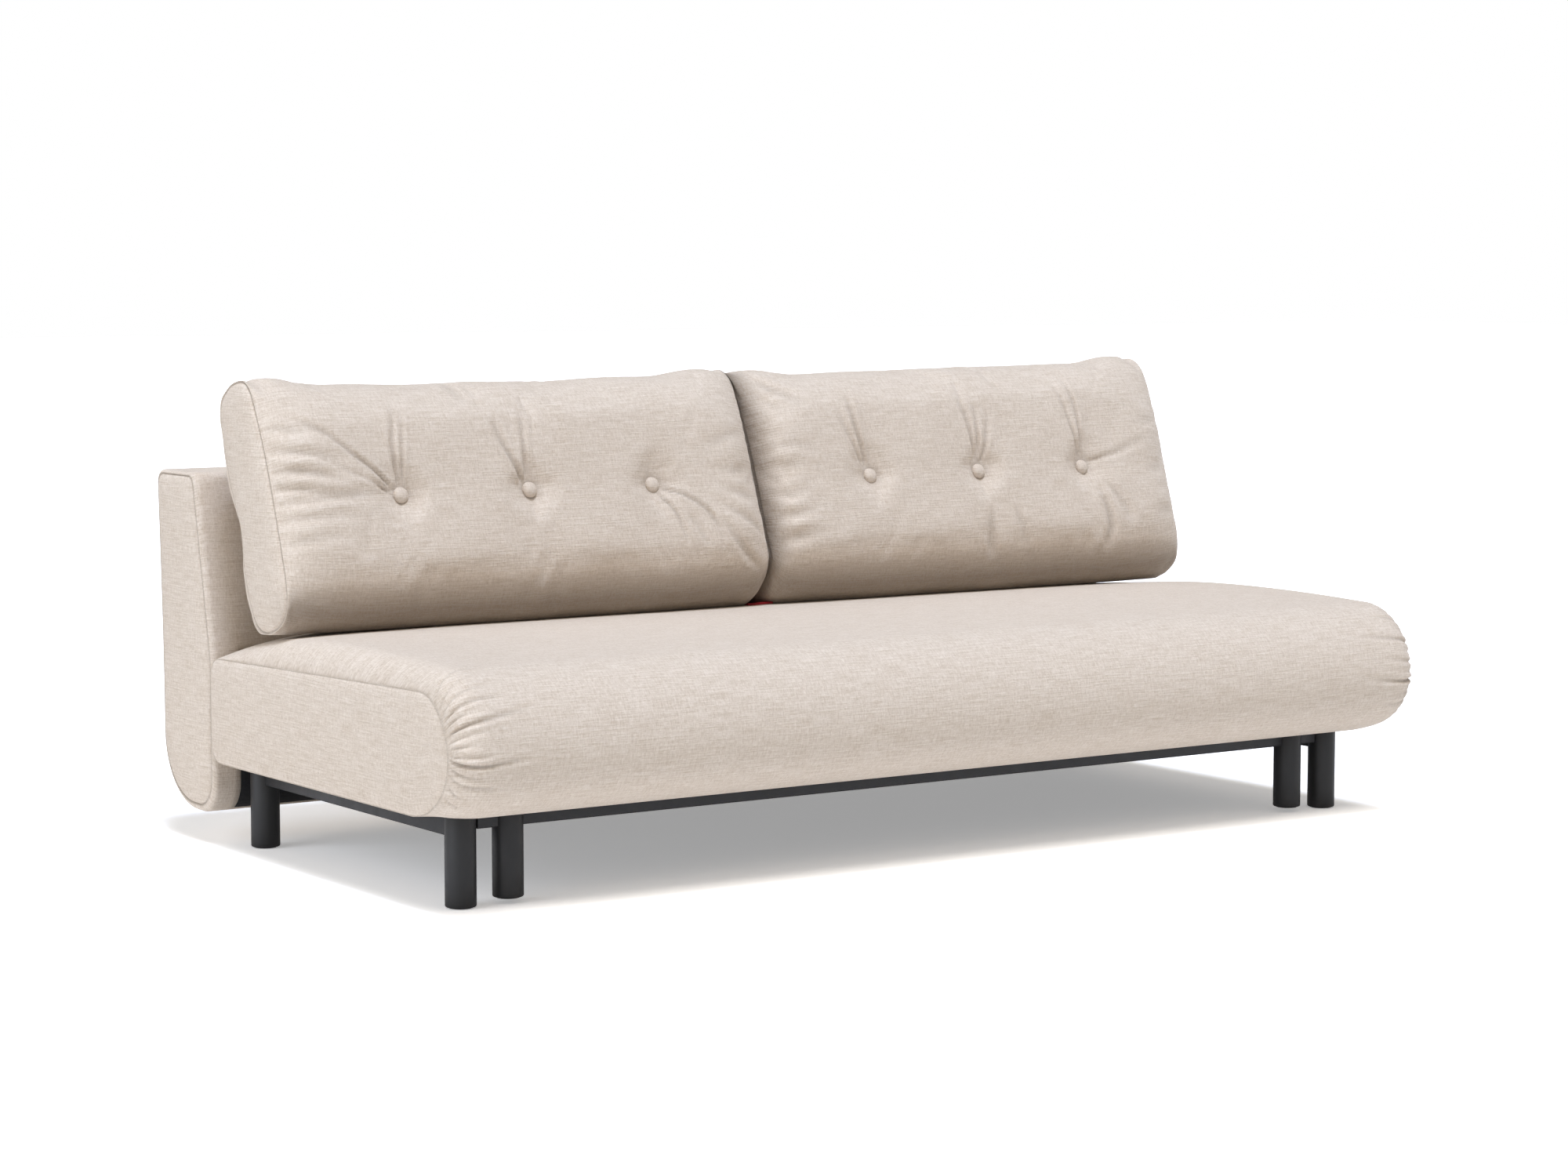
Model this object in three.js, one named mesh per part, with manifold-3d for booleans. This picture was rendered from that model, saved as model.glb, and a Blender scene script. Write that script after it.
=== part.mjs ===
// A three-seat sofa bed: a deep upholstered seat on a sliding carriage, a wedge-shaped backrest
// that folds forward on two hinges to become the far half of the bed, and two loose back cushions
// with buttoned tufts.  Millimetres, +Z up, the front faces -Y, and both halves are alike.
import * as THREE from 'three';
import { mergeVertices } from 'three/addons/utils/BufferGeometryUtils.js';
import Module from 'manifold-3d';

const wasm = await Module();
wasm.setup();

// Driving dimensions.  Depths run from the axis of the front legs, heights from the floor.

const fit = 0.3;                 // gap left between touching pieces
const overrun = 5;               // how far every cutter runs past what it cuts

const seatHalfWidth = 987;
const legSpanY = 692.6;          // the base's legs, centre to centre, front to back
const legEndInset = 79;          // the base's legs, in from the seat's ends
const innerLegSpacing = 85;      // from a front outer leg to the carriage's leg beside it
const innerLegLift = 7.8;        // the carriage's legs hang this far off the floor
const legRadius = 25;
const legFillet = 2.5;
const glideRadius = 19;
const glideThickness = 5;
const glideRecess = 3.5;         // how deep a felt glide is let into its leg
const boltRadius = 4;
const boltHeadRadius = 8;
const boltHeadHeight = 3.4;
const outerLegX = seatHalfWidth - legEndInset;
const innerLegX = outerLegX - innerLegSpacing;

const railWidth = 20;
const railWall = 2;
const baseRailBottom = 110.1;
const baseRailHeight = 36;
const railEndInLeg = 14;         // how far a side rail runs past the leg's axis
const carriageRailRise = 12.5;   // the carriage's rails, up from the bottom of the base's
const carriageRailHeight = 25.8;
const carriageSideClear = 1;     // running gap between a carriage rail and the outer front leg
const carriageRailRearGap = 14;  // gap from the carriage rails' ends to the base's rear rail
const baseRailTop = baseRailBottom + baseRailHeight;
const carriageRailBottom = baseRailBottom + carriageRailRise;
const carriageRailTop = carriageRailBottom + carriageRailHeight;

const runnerWall = 2;
const runnerHeight = 20;
const runnerFrontY = 44;
const runnerRearGap = 18;
const slideBlockLength = 60;
const slideBlockRearGap = 20;    // from the block's back end to the end of its rail

const pivotSetback = 63.4;       // the hinge axis, behind the rear legs' axis
const pivotInset = 20;           // the hinge axis, behind the backrest's front face
const bracketRise = 3.9;         // the bracket's foot, up from the bottom of the rear rail
const pivotRise = 79;            // the hinge axis, up from the bracket's foot
const hingeInset = 298;          // the hinges, in from the outer legs
const pinRadius = 6;
const pinHeadRadius = 9;
const pinHeadThickness = 3;
const hingeBossRadius = 15;
const bracketThickness = 6;
const bracketArmHeight = 31;
const bracketFlangeWidth = 46;
const bracketFlangeThickness = 4;
const bracketBoltOffset = 14;    // from the plate's middle to the flange's bolt
const bracketBoltReach = 12;
const leafPlateThickness = 4;
const leafPlateHeight = 44;
const leafBackWidth = 48;
const leafBackHeight = 110;
const leafBackThickness = 5;
const pinClearance = 0.08;       // radial running gap of a hinge pin
const pinFacets = 40;
const hingeSideGap = 1;          // running gap each side of the bracket plate
const slotMargin = 4;
const hingeX = outerLegX - hingeInset;
const bracketBottom = baseRailBottom + bracketRise;
const pivotY = legSpanY + pivotSetback;
const pivotZ = bracketBottom + pivotRise;

const backEndMargin = 7;         // the backrest's ends, in from the seat's
const backDepth = 207;
const backRearLean = 14;         // how far the rear face leans back towards the top
const backDrop = 138.5;          // how far the backrest hangs below the hinge axis
const backHeight = 588.5;
const backBreakHeight = 269.5;   // where the front face starts to recline, from the bottom
const backTopDepth = 162;
const backTopRadius = 18;
const backFrontBottomRadius = 58;
const backRearBottomRadius = 124;
const backSeamInset = 11;        // the side panel's outline lies this far inside the full one
const backEndInset = 10;
const backPanelBulge = 5;
const backPocketWall = 70;
const backPocketFloor = 45.5;
const backPocketHeight = 222;
const backFrameThickness = 30;
const backFrameRailHeight = 40;
const backUprightWidth = 60;
const backUprightInset = 130;    // the end uprights, in from the backrest's ends
const liningThickness = 3;
const liningSideInset = 48;      // fabric border beside the black lining
const liningRise = 12;           // how far the lining runs up past the break
const liningWrap = 62;           // degrees that the lining runs on round the bottom edge
const liningEndTurn = 1;         // degrees of open joint where it ends
const backHalfWidth = seatHalfWidth - backEndMargin;
const backFrontY = pivotY - pivotInset;
const backRearY = backFrontY + backDepth;
const backRearTopY = backRearY + backRearLean;
const backBottom = pivotZ - backDrop;
const backTop = backBottom + backHeight;
const backBreakZ = backBottom + backBreakHeight;
const liningTop = backBreakZ + liningRise;

const seatRailGap = 0.7;         // the mattress's underside, over the carriage's rails
const seatRearHeight = 222.9;
const seatRearRadius = 40;
const seatRollCentreY = -52.8;   // the full front roll, away from the ends
const seatRollDepth = 115.8;
const seatRollHeight = 234.9;
const seatCrown = 6;
const seatEndInset = 42;         // width of the rounded stretch at each end
const seatCrownRise = 110;       // how fast the crown fills up away from the ends, at the rear
const seamRollCentreY = -12;     // the smaller outline of the side panel
const seamRollDepth = 99;
const seamRollHeight = 198.9;
const seamRearHeight = 181.9;
const seamRearRadius = 31;
const sidePanelBulge = 6;
const gatherDepth = 6;
const gatherCount = 7;           // pleats drawn in round each end of the front roll
const seatPocketWall = 103;      // foam left round the wooden seat frame
const seatPocketFrontY = -12;
const seatPocketRearWall = 52;
const seatPocketHeight = 40.9;
const seatBoardThickness = 24;
const slatThickness = 10;
const slatWidth = 70;
const slatCount = 5;
const dustCoverThickness = 2.4;
const seatBottom = carriageRailTop + seatRailGap;
const seatRearTop = seatBottom + seatRearHeight;
const seatRollTop = seatBottom + seatRollHeight;
const seamRollTop = seatBottom + seamRollHeight;
const seamRearTop = seatBottom + seamRearHeight;

const strapWidth = 56;
const strapLength = 104;
const strapThickness = 2;
const strapRearGap = 46;         // from the strap's rear end to the backrest
const strapRearY = backFrontY - strapRearGap;
const strapFrontY = strapRearY - strapLength;

const cushionEndMargin = 9;      // the cushions' outer ends, in from the seat's
const cushionSeamMargin = 15;    // from a cushion's end to its gusset's seam
const cushionSeamHalfHeight = 214;
const cushionGusset = 152;
const cushionLean = 20;          // degrees
const cushionReach = 213;        // the middle of the front seam's plane, before the backrest
const cushionRise = 225;         // and over the rear of the seat
const cushionCornerRadius = 36;
const cushionFrontCrown = 50;
const cushionRearCrown = 98;
const cushionEndCrown = 16;
const cushionTopCrown = 34;
const cushionHalfGap = 0.6;      // half of the crack between the two cushions
const slumpFrom = 110;           // the lower and upper stretches sag back from this height on
const footSlump = 70;
const headSlump = 12;
const tuftSpacing = 251;
const tuftHeight = 8;            // the buttons' row above the cushion's middle
const tuftDepth = 31;
const tuftSpread = 62;
const buttonRadius = 11.5;
const buttonHeight = 8;
const buttonSocketGap = 1;
const cushionCentreX = (seatHalfWidth - cushionEndMargin) / 2;
const cushionSeamHalfWidth = cushionCentreX - cushionSeamMargin;

// Materials

const material = (name, color, roughness, metalness = 0) =>
  Object.assign(new THREE.MeshStandardMaterial({ color, roughness, metalness }), { name });
const fabric = material('fabric', 0xd9cdbd, 0.95);
const blackPaint = material('black_paint', 0x1b1c1d, 0.5);
const lining = material('lining', 0x2a2a2b, 0.95);
const steel = material('steel', 0x8f9397, 0.4, 1);
const felt = material('felt', 0x3a3836, 1);
const nylon = material('nylon', 0x202225, 0.6);
const plywood = material('plywood', 0xc9a97a, 0.7);
const webbing = material('webbing', 0x9c1420, 0.85);

// Solids

function solid(geometry) {
  const plain = geometry.index ? geometry.clone() : geometry;
  for (const attribute of ['normal', 'uv']) plain.deleteAttribute(attribute);
  const merged = mergeVertices(plain, 1e-4);
  return new wasm.Manifold(new wasm.Mesh({
    numProp: 3,
    vertProperties: merged.attributes.position.array,
    triVerts: new Uint32Array(merged.index.array),
  }));
}

function geometryOf(body) {
  const { vertProperties, triVerts } = body.getMesh();
  const geometry = new THREE.BufferGeometry();
  geometry.setAttribute('position', new THREE.BufferAttribute(new Float32Array(vertProperties), 3));
  geometry.setIndex(Array.from(triVerts));
  return geometry;
}

// A box from its lowest to its highest corner.
function box([x0, y0, z0], [x1, y1, z1]) {
  const geometry = new THREE.BoxGeometry(x1 - x0, y1 - y0, z1 - z0);
  return solid(geometry.translate((x0 + x1) / 2, (y0 + y1) / 2, (z0 + z1) / 2));
}

// A cylinder along an axis, between two places on it.
function rod(axis, radius, from, to, across, segments = 24) {
  const geometry = new THREE.CylinderGeometry(radius, radius, to - from, segments);
  if (axis === 'x') geometry.rotateZ(Math.PI / 2);
  if (axis === 'z') geometry.rotateX(Math.PI / 2);
  const middle = (from + to) / 2;
  const [u, v] = across;
  if (axis === 'x') geometry.translate(middle, u, v);
  if (axis === 'y') geometry.translate(u, middle, v);
  if (axis === 'z') geometry.translate(u, v, middle);
  return solid(geometry);
}

// A plate of the given outline in Y and Z, spread across X.
function plateX(points, x0, x1) {
  const outline = new THREE.Shape(points.map(([y, z]) => new THREE.Vector2(y, z)));
  const geometry = new THREE.ExtrudeGeometry(outline, { depth: x1 - x0, bevelEnabled: false });
  geometry.applyMatrix4(new THREE.Matrix4().set(0, 0, 1, x0, 1, 0, 0, 0, 0, 1, 0, 0, 0, 0, 0, 1));
  return solid(geometry);
}

const capInsetShare = 0.22;      // how far a dome's rim lies inside its outline

// A closed skin through rings of equal length, from low X to high X.  Each end is closed by a
// slightly domed panel.
function loft(rings, bulge) {
  const count = rings[0].length;
  const points = rings.flat();
  const faces = [];
  for (let i = 0; i + 1 < rings.length; i += 1) {
    for (let j = 0; j < count; j += 1) {
      const a = i * count + j;
      const b = i * count + ((j + 1) % count);
      faces.push(a, a + count, b, b, a + count, b + count);
    }
  }
  const close = (ring, start, side) => {
    const middle = new THREE.Vector3();
    ring.forEach((p) => middle.addScaledVector(p, 1 / count));
    const inner = points.length;
    const swell = new THREE.Vector3(side * bulge, 0, 0);
    ring.forEach((p) => points.push(p.clone().lerp(middle, capInsetShare).add(swell)));
    points.push(middle.clone().add(swell));
    for (let j = 0; j < count; j += 1) {
      const next = (j + 1) % count;
      const quad = [start + j, inner + j, start + next, start + next, inner + j, inner + next];
      const tip = [inner + j, inner + count, inner + next];
      faces.push(...(side > 0 ? [...quad, ...tip] : [...quad.reverse(), ...tip.reverse()]));
    }
  };
  close(rings[0], 0, -1);
  close(rings.at(-1), (rings.length - 1) * count, 1);
  const geometry = new THREE.BufferGeometry();
  const places = points.flatMap((p) => p.toArray());
  geometry.setAttribute('position', new THREE.Float32BufferAttribute(places, 3));
  geometry.setIndex(faces);
  return solid(geometry);
}

// The scene graph

const sofa = new THREE.Group();
sofa.name = 'sofa_bed';
const groups = {};
for (const name of ['base', 'seat', 'backrest', 'cushion_left', 'cushion_right']) {
  groups[name] = new THREE.Group();
  sofa.add(groups[name]);
}

function add(group, name, body, surface) {
  const mesh = new THREE.Mesh(geometryOf(body), surface);
  mesh.name = name;
  groups[group].add(mesh);
}

const sides = [['left', -1], ['right', 1]];

// Base frame: four outer legs, two side rails, a rear rail and the runners

const halfRail = railWidth / 2;
const glideSink = glideThickness - glideRecess;

// A round leg with a softened foot and a shallow socket for its glide.
function leg(x, y, foot, top) {
  const end = foot + glideSink;
  const profile = [
    [0, end], [legRadius - legFillet, end], [legRadius, end + legFillet], [legRadius, top], [0, top],
  ].map(([r, z]) => new THREE.Vector2(r, z));
  const body = solid(new THREE.LatheGeometry(profile, 32).rotateX(Math.PI / 2).translate(x, y, 0));
  return body.subtract(rod('z', glideRadius + fit, end - overrun, foot + glideThickness + fit, [x, y]));
}

function glide(x, y, foot) {
  return rod('z', glideRadius, foot, foot + glideThickness, [x, y]);
}

// A square tube between two corners, hollow along the axis that it is longest in.
function tube(low, high) {
  const long = [0, 1, 2].reduce((best, i) => (high[i] - low[i] > high[best] - low[best] ? i : best), 0);
  const inLow = low.map((v, i) => (i === long ? v - overrun : v + railWall));
  const inHigh = high.map((v, i) => (i === long ? v + overrun : v - railWall));
  return box(low, high).subtract(box(inLow, inHigh));
}

const grow = (low, high) => box(low.map((v) => v - fit), high.map((v) => v + fit));

const sideRailSpan = (side) => [
  [side * outerLegX - halfRail, -railEndInLeg, baseRailBottom],
  [side * outerLegX + halfRail, legSpanY + railEndInLeg, baseRailTop],
];
const rearRailEndX = outerLegX - halfRail - fit;
const rearRailSpan = [
  [-rearRailEndX, legSpanY - halfRail, baseRailBottom],
  [rearRailEndX, legSpanY + halfRail, baseRailTop],
];

for (const [word, side] of sides) {
  const x = side * outerLegX;
  const [low, high] = sideRailSpan(side);
  const top = high[2] + overrun;
  for (const [place, y] of [['front', 0], ['rear', legSpanY]]) {
    let post = leg(x, y, 0, baseRailTop).subtract(grow(low, [high[0], high[1], top]));
    if (place === 'rear') {
      post = post.subtract(grow(rearRailSpan[0], [rearRailSpan[1][0], rearRailSpan[1][1], top]));
    }
    add('base', `leg_${place}_${word}`, post, blackPaint);
    add('base', `leg_glide_${place}_${word}`, glide(x, y, 0), felt);
  }
  add('base', `base_side_rail_${word}`, tube(low, high), blackPaint);
}

const boltSides = 16;
const bracketBoltX = (side) => side * (hingeX + bracketBoltOffset);
const bracketBoltZ = bracketBottom + bracketArmHeight / 2;
let rearRail = tube(...rearRailSpan);
for (const [, side] of sides) {
  rearRail = rearRail.subtract(
    rod('y', boltRadius + fit, legSpanY, legSpanY + halfRail + overrun,
      [bracketBoltX(side), bracketBoltZ], boltSides));
}
add('base', 'base_rear_rail', rearRail, blackPaint);

// C-section runners on the inner faces of the side rails
const runnerOuterX = outerLegX - halfRail - fit;
const carriageOuterX = outerLegX - legRadius - carriageSideClear;
const runnerInnerX = carriageOuterX + fit;
const runnerMidZ = (carriageRailBottom + carriageRailTop) / 2;
const runnerLow = runnerMidZ - runnerHeight / 2;
const runnerHigh = runnerMidZ + runnerHeight / 2;
const runnerRearY = legSpanY - halfRail - runnerRearGap;
const across = (side, near, far) => (side < 0 ? [-far, -near] : [near, far]);

for (const [word, side] of sides) {
  const [x0, x1] = across(side, runnerInnerX, runnerOuterX);
  const [c0, c1] = across(side, runnerInnerX - overrun, runnerOuterX - runnerWall);
  const channel = box(
    [c0, runnerFrontY - overrun, runnerLow + runnerWall],
    [c1, runnerRearY + overrun, runnerHigh - runnerWall]);
  const runner = box([x0, runnerFrontY, runnerLow], [x1, runnerRearY, runnerHigh]).subtract(channel);
  add('base', `slide_runner_${word}`, runner, steel);
}

// Hinge brackets: an upright plate with a boss at the pivot, on a flange bolted to the rear rail
const bossSides = 32;
const hexSides = 6;
const bracketFaceY = legSpanY + halfRail + fit;
const bracketArmTop = bracketBottom + bracketArmHeight;
for (const [word, side] of sides) {
  const x = side * hingeX;
  const plate = plateX([
    [bracketFaceY, bracketBottom], [pivotY + hingeBossRadius, bracketBottom],
    [pivotY + hingeBossRadius, pivotZ], [pivotY - hingeBossRadius, pivotZ],
    [pivotY - hingeBossRadius, bracketArmTop], [bracketFaceY, bracketArmTop],
  ], x - bracketThickness / 2, x + bracketThickness / 2);
  const boss = rod('x', hingeBossRadius, x - bracketThickness / 2, x + bracketThickness / 2,
    [pivotY, pivotZ], bossSides);
  let flange = box(
    [x - bracketFlangeWidth / 2, bracketFaceY, bracketBottom],
    [x + bracketFlangeWidth / 2, bracketFaceY + bracketFlangeThickness, bracketArmTop]);
  const boltAt = [bracketBoltX(side), bracketBoltZ];
  const faceY = bracketFaceY + bracketFlangeThickness;
  flange = flange.subtract(
    rod('y', boltRadius + fit, bracketFaceY - overrun, faceY + overrun, boltAt, boltSides));
  const headBase = faceY + fit;
  const boltTip = legSpanY + halfRail - bracketBoltReach / 2;
  const bolt = rod('y', boltRadius, boltTip, headBase + boltHeadHeight / 2, boltAt, boltSides)
    .add(rod('y', boltHeadRadius, headBase, headBase + boltHeadHeight, boltAt, hexSides));
  add('base', `bracket_bolt_${word}`, bolt, steel);
  const hole = rod('x', pinRadius + pinClearance, x - bracketThickness, x + bracketThickness,
    [pivotY, pivotZ], pinFacets);
  add('base', `hinge_bracket_${word}`, plate.add(boss).add(flange).subtract(hole), steel);
  const reach = bracketThickness / 2 + hingeSideGap + leafPlateThickness + fit;
  const pin = rod('x', pinRadius, x - reach - pinHeadThickness / 2, x + reach + pinHeadThickness / 2,
    [pivotY, pivotZ], pinFacets)
    .add(rod('x', pinHeadRadius, x + reach, x + reach + pinHeadThickness, [pivotY, pivotZ]))
    .add(rod('x', pinHeadRadius, x - reach - pinHeadThickness, x - reach, [pivotY, pivotZ]));
  add('base', `hinge_pin_${word}`, pin, steel);
}

// Seat carriage: front cross rail on two inner legs, side rails and nylon slide blocks

const carriageInnerX = carriageOuterX - railWidth;
const frontRailSpan = [
  [-carriageOuterX, -halfRail, carriageRailBottom],
  [carriageOuterX, halfRail, carriageRailTop],
];
const carriageRailRearY = legSpanY - halfRail - carriageRailRearGap;
const carriageRailSpan = (side) => {
  const [x0, x1] = across(side, carriageInnerX, carriageOuterX);
  return [
    [x0, halfRail + fit, carriageRailBottom],
    [x1, carriageRailRearY, carriageRailTop],
  ];
};
add('seat', 'carriage_front_rail', tube(...frontRailSpan), blackPaint);
for (const [word, side] of sides) {
  const x = side * innerLegX;
  const [low, high] = frontRailSpan;
  const post = leg(x, 0, innerLegLift, carriageRailTop)
    .subtract(grow(low, [high[0], high[1], high[2] + overrun]));
  add('seat', `carriage_leg_${word}`, post, blackPaint);
  add('seat', `carriage_glide_${word}`, glide(x, 0, innerLegLift), felt);
  add('seat', `carriage_side_rail_${word}`, tube(...carriageRailSpan(side)), blackPaint);
  const [x0, x1] = across(side, carriageOuterX + fit, runnerOuterX - runnerWall - fit);
  const rear = carriageRailRearY - slideBlockRearGap;
  add('seat', `slide_block_${word}`, box(
    [x0, rear - slideBlockLength, runnerLow + runnerWall + fit],
    [x1, rear, runnerHigh - runnerWall - fit]), nylon);
}
add('seat', 'carriage_rear_rail', tube(
  [-carriageInnerX + fit, carriageRailRearY - railWidth, carriageRailBottom],
  [carriageInnerX - fit, carriageRailRearY, carriageRailTop]), blackPaint);

// Seat mattress: a lofted skin, full in the middle and drawn in to the side panels

const seatRearY = backFrontY - fit;
const rollSteps = gatherCount * 4;
const topShares = [0.08, 0.2, 0.35, 0.5, 0.65, 0.8, 0.92];
const bottomShares = [0.25, 0.5, 0.75];
const cornerTurns = [90, 60, 30, 0];
const cornerReach = 6;           // the slow rear corner's hold on the top dies away this steeply
const pleatHeightShare = 0.6;    // a pleat draws the cloth in less upwards than backwards

// One outline of the seat in Y and Z.  fullness is 0 at the side panel's seam and 1 in the middle;
// the top's rear edge fills up more slowly, by rearFullness.
function seatOutline(fullness, rearFullness, pleat) {
  const mix = (seam, full) => seam + (full - seam) * fullness;
  const centreY = mix(seamRollCentreY, seatRollCentreY);
  const depth = mix(seamRollDepth, seatRollDepth);
  const frontTop = mix(seamRollTop, seatRollTop);
  const cornerTop = seamRearTop + (seatRearTop - seamRearTop) * rearFullness;
  const rearRadius = mix(seamRearRadius, seatRearRadius);
  const halfHeight = (frontTop - seatBottom) / 2;
  const outline = [];
  for (let i = 0; i <= rollSteps; i += 1) {
    const angle = Math.PI * (i / rollSteps - 0.5);
    const fade = Math.cos(angle) ** 0.5;
    const dip = pleat * (0.5 + 0.5 * Math.cos(2 * Math.PI * gatherCount * i / rollSteps)) * fade;
    outline.push([
      centreY - (depth - dip) * Math.cos(angle),
      seatBottom + halfHeight + (halfHeight - dip * pleatHeightShare) * Math.sin(angle),
    ]);
  }
  const flatRear = seatRearY - rearRadius;
  for (const share of topShares) {
    const filled = THREE.MathUtils.lerp(fullness, rearFullness, share ** cornerReach);
    const seamLine = THREE.MathUtils.lerp(seamRollTop, seamRearTop, share);
    const crown = seatCrown * 4 * share * (1 - share);
    const fullLine = THREE.MathUtils.lerp(seatRollTop, seatRearTop, share) + crown;
    const height = THREE.MathUtils.lerp(seamLine, fullLine, filled);
    outline.push([centreY + (flatRear - centreY) * share, height]);
  }
  for (const angle of cornerTurns.map(THREE.MathUtils.degToRad)) {
    const centreZ = cornerTop - rearRadius;
    outline.push([flatRear + rearRadius * Math.cos(angle), centreZ + rearRadius * Math.sin(angle)]);
  }
  for (const angle of cornerTurns.toReversed().map(THREE.MathUtils.degToRad)) {
    outline.push([
      seatRearY - seamRearRadius + seamRearRadius * Math.cos(angle),
      seatBottom + seamRearRadius - seamRearRadius * Math.sin(angle),
    ]);
  }
  for (const share of bottomShares) {
    const rearEnd = seatRearY - seamRearRadius;
    outline.push([rearEnd + (centreY - rearEnd) * share, seatBottom]);
  }
  return outline;
}

// Stations from one end to the other: shares of the end's quarter turn, then the straight middle.
function stations(halfWidth, inset, turnShares, middleShares) {
  const end = turnShares.map((share) => {
    const turn = share * Math.PI / 2;
    return { x: halfWidth - inset * (1 - Math.cos(turn)), fullness: Math.sin(turn), share };
  });
  const middle = middleShares.map((share) => ({ x: share * halfWidth, fullness: 1, share: 1 }));
  const half = [...end, ...middle];
  const mirrored = half.map((station) => ({ ...station, x: -station.x }));
  return [...mirrored, { x: 0, fullness: 1, share: 1 }, ...half.reverse()];
}

const seatTurnShares = [0, 0.2, 0.42, 0.68, 1];
const seatMiddleShares = [0.92, 0.85, 0.74];
const seatRings = stations(seatHalfWidth, seatEndInset, seatTurnShares, seatMiddleShares)
  .map(({ x, fullness, share }) => {
    const rearFullness = 1 - Math.exp((Math.abs(x) - seatHalfWidth) / seatCrownRise);
    const pleat = gatherDepth * Math.sin(Math.PI * share);
    return seatOutline(fullness, rearFullness, pleat).map(([y, z]) => new THREE.Vector3(x, y, z));
  });

const seatPocketX = seatHalfWidth - seatPocketWall;
const seatPocketRearY = seatRearY - seatPocketRearWall;
const seatPocketTop = seatBottom + seatPocketHeight;
const seatPocket = box(
  [-seatPocketX, seatPocketFrontY, seatBottom - overrun],
  [seatPocketX, seatPocketRearY, seatPocketTop]);
const mattress = loft(seatRings, sidePanelBulge);
add('seat', 'seat_mattress', mattress.subtract(seatPocket), fabric);

// The wooden seat frame, its slats and the dust cover, all inside the mattress's pocket
const boardX = seatPocketX - fit;
const boardFrontY = seatPocketFrontY + fit;
const boardRearY = seatPocketRearY - fit;
const coverBottom = carriageRailTop + fit;
const boardBottom = coverBottom + dustCoverThickness + fit;
const slatTop = seatPocketTop - fit;
const boardTop = slatTop - slatThickness - fit;
add('seat', 'seat_dust_cover', box(
  [-boardX, boardFrontY, coverBottom], [boardX, boardRearY, coverBottom + dustCoverThickness]), lining);
add('seat', 'seat_board_front', box(
  [-boardX, boardFrontY, boardBottom], [boardX, boardFrontY + seatBoardThickness, boardTop]), plywood);
add('seat', 'seat_board_rear', box(
  [-boardX, boardRearY - seatBoardThickness, boardBottom], [boardX, boardRearY, boardTop]), plywood);
for (const [word, side] of sides) {
  const [x0, x1] = across(side, boardX - seatBoardThickness, boardX);
  add('seat', `seat_board_${word}`, box(
    [x0, boardFrontY + seatBoardThickness + fit, boardBottom],
    [x1, boardRearY - seatBoardThickness - fit, boardTop]), plywood);
}
for (let i = 0; i < slatCount; i += 1) {
  const x = boardX * 2 * ((i + 0.5) / slatCount - 0.5);
  add('seat', `seat_slat_${i + 1}`, box(
    [x - slatWidth / 2, boardFrontY, boardTop + fit], [x + slatWidth / 2, boardRearY, slatTop]), plywood);
}

// Backrest: a wedge with a reclined front, hollowed for its frame behind a black lining

const topFrontY = backRearTopY - backTopDepth;

const bottomSteps = 6;           // facets of each rounded edge, as seen from the end
const topSteps = 3;
const rearBottomSteps = 7;
const topFrontTurn = 170;        // degrees, where the reclined face runs into the top edge

function arc(centreY, centreZ, radius, from, to, steps) {
  return Array.from({ length: steps + 1 }, (_, i) => {
    const angle = THREE.MathUtils.degToRad(from + (to - from) * i / steps);
    return [centreY + radius * Math.cos(angle), centreZ + radius * Math.sin(angle)];
  });
}

// One outline of the backrest in Y and Z, drawn in all round by inset.
function backOutline(inset) {
  const front = backFrontY + inset;
  const rear = backRearY - inset / 2;
  const bottom = backBottom + inset;
  const top = backTop - inset / 2;
  const frontRadius = backFrontBottomRadius - inset / 2;
  const rearRadius = backRearBottomRadius - inset / 2;
  const topCentreZ = top - backTopRadius;
  return [
    ...arc(front + frontRadius, bottom + frontRadius, frontRadius, 270, 180, bottomSteps),
    [front, (bottom + backBreakZ) / 2],
    [front, backBreakZ],
    [front + (topFrontY - backFrontY) / 2, (backBreakZ + top) / 2],
    ...arc(topFrontY + inset + backTopRadius, topCentreZ, backTopRadius, topFrontTurn, 90, topSteps),
    ...arc(backRearTopY - inset / 2 - backTopRadius, topCentreZ, backTopRadius, 90, 0, topSteps),
    [rear + (backRearTopY - backRearY) / 2, (backBreakZ + top) / 2],
    [rear, backBreakZ],
    ...arc(rear - rearRadius, bottom + rearRadius, rearRadius, 0, -90, rearBottomSteps),
  ];
}

const backTurnShares = [0, 0.33, 0.66, 1];
const backRings = stations(backHalfWidth, backEndInset, backTurnShares, []).map(({ x, fullness }) =>
  backOutline(backSeamInset * (1 - fullness)).map(([y, z]) => new THREE.Vector3(x, y, z)));

// The lining's outline: down the front face and round the bottom edge, between two depths.
function liningOutline(near, far, top, wrap) {
  const centreY = backFrontY + backFrontBottomRadius;
  const centreZ = backBottom + backFrontBottomRadius;
  const outer = arc(centreY, centreZ, backFrontBottomRadius - near, 180, 180 + wrap, bottomSteps);
  const inner = arc(centreY, centreZ, backFrontBottomRadius - far, 180 + wrap, 180, bottomSteps);
  return [[backFrontY + near, top], ...outer, ...inner, [backFrontY + far, top]];
}

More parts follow.
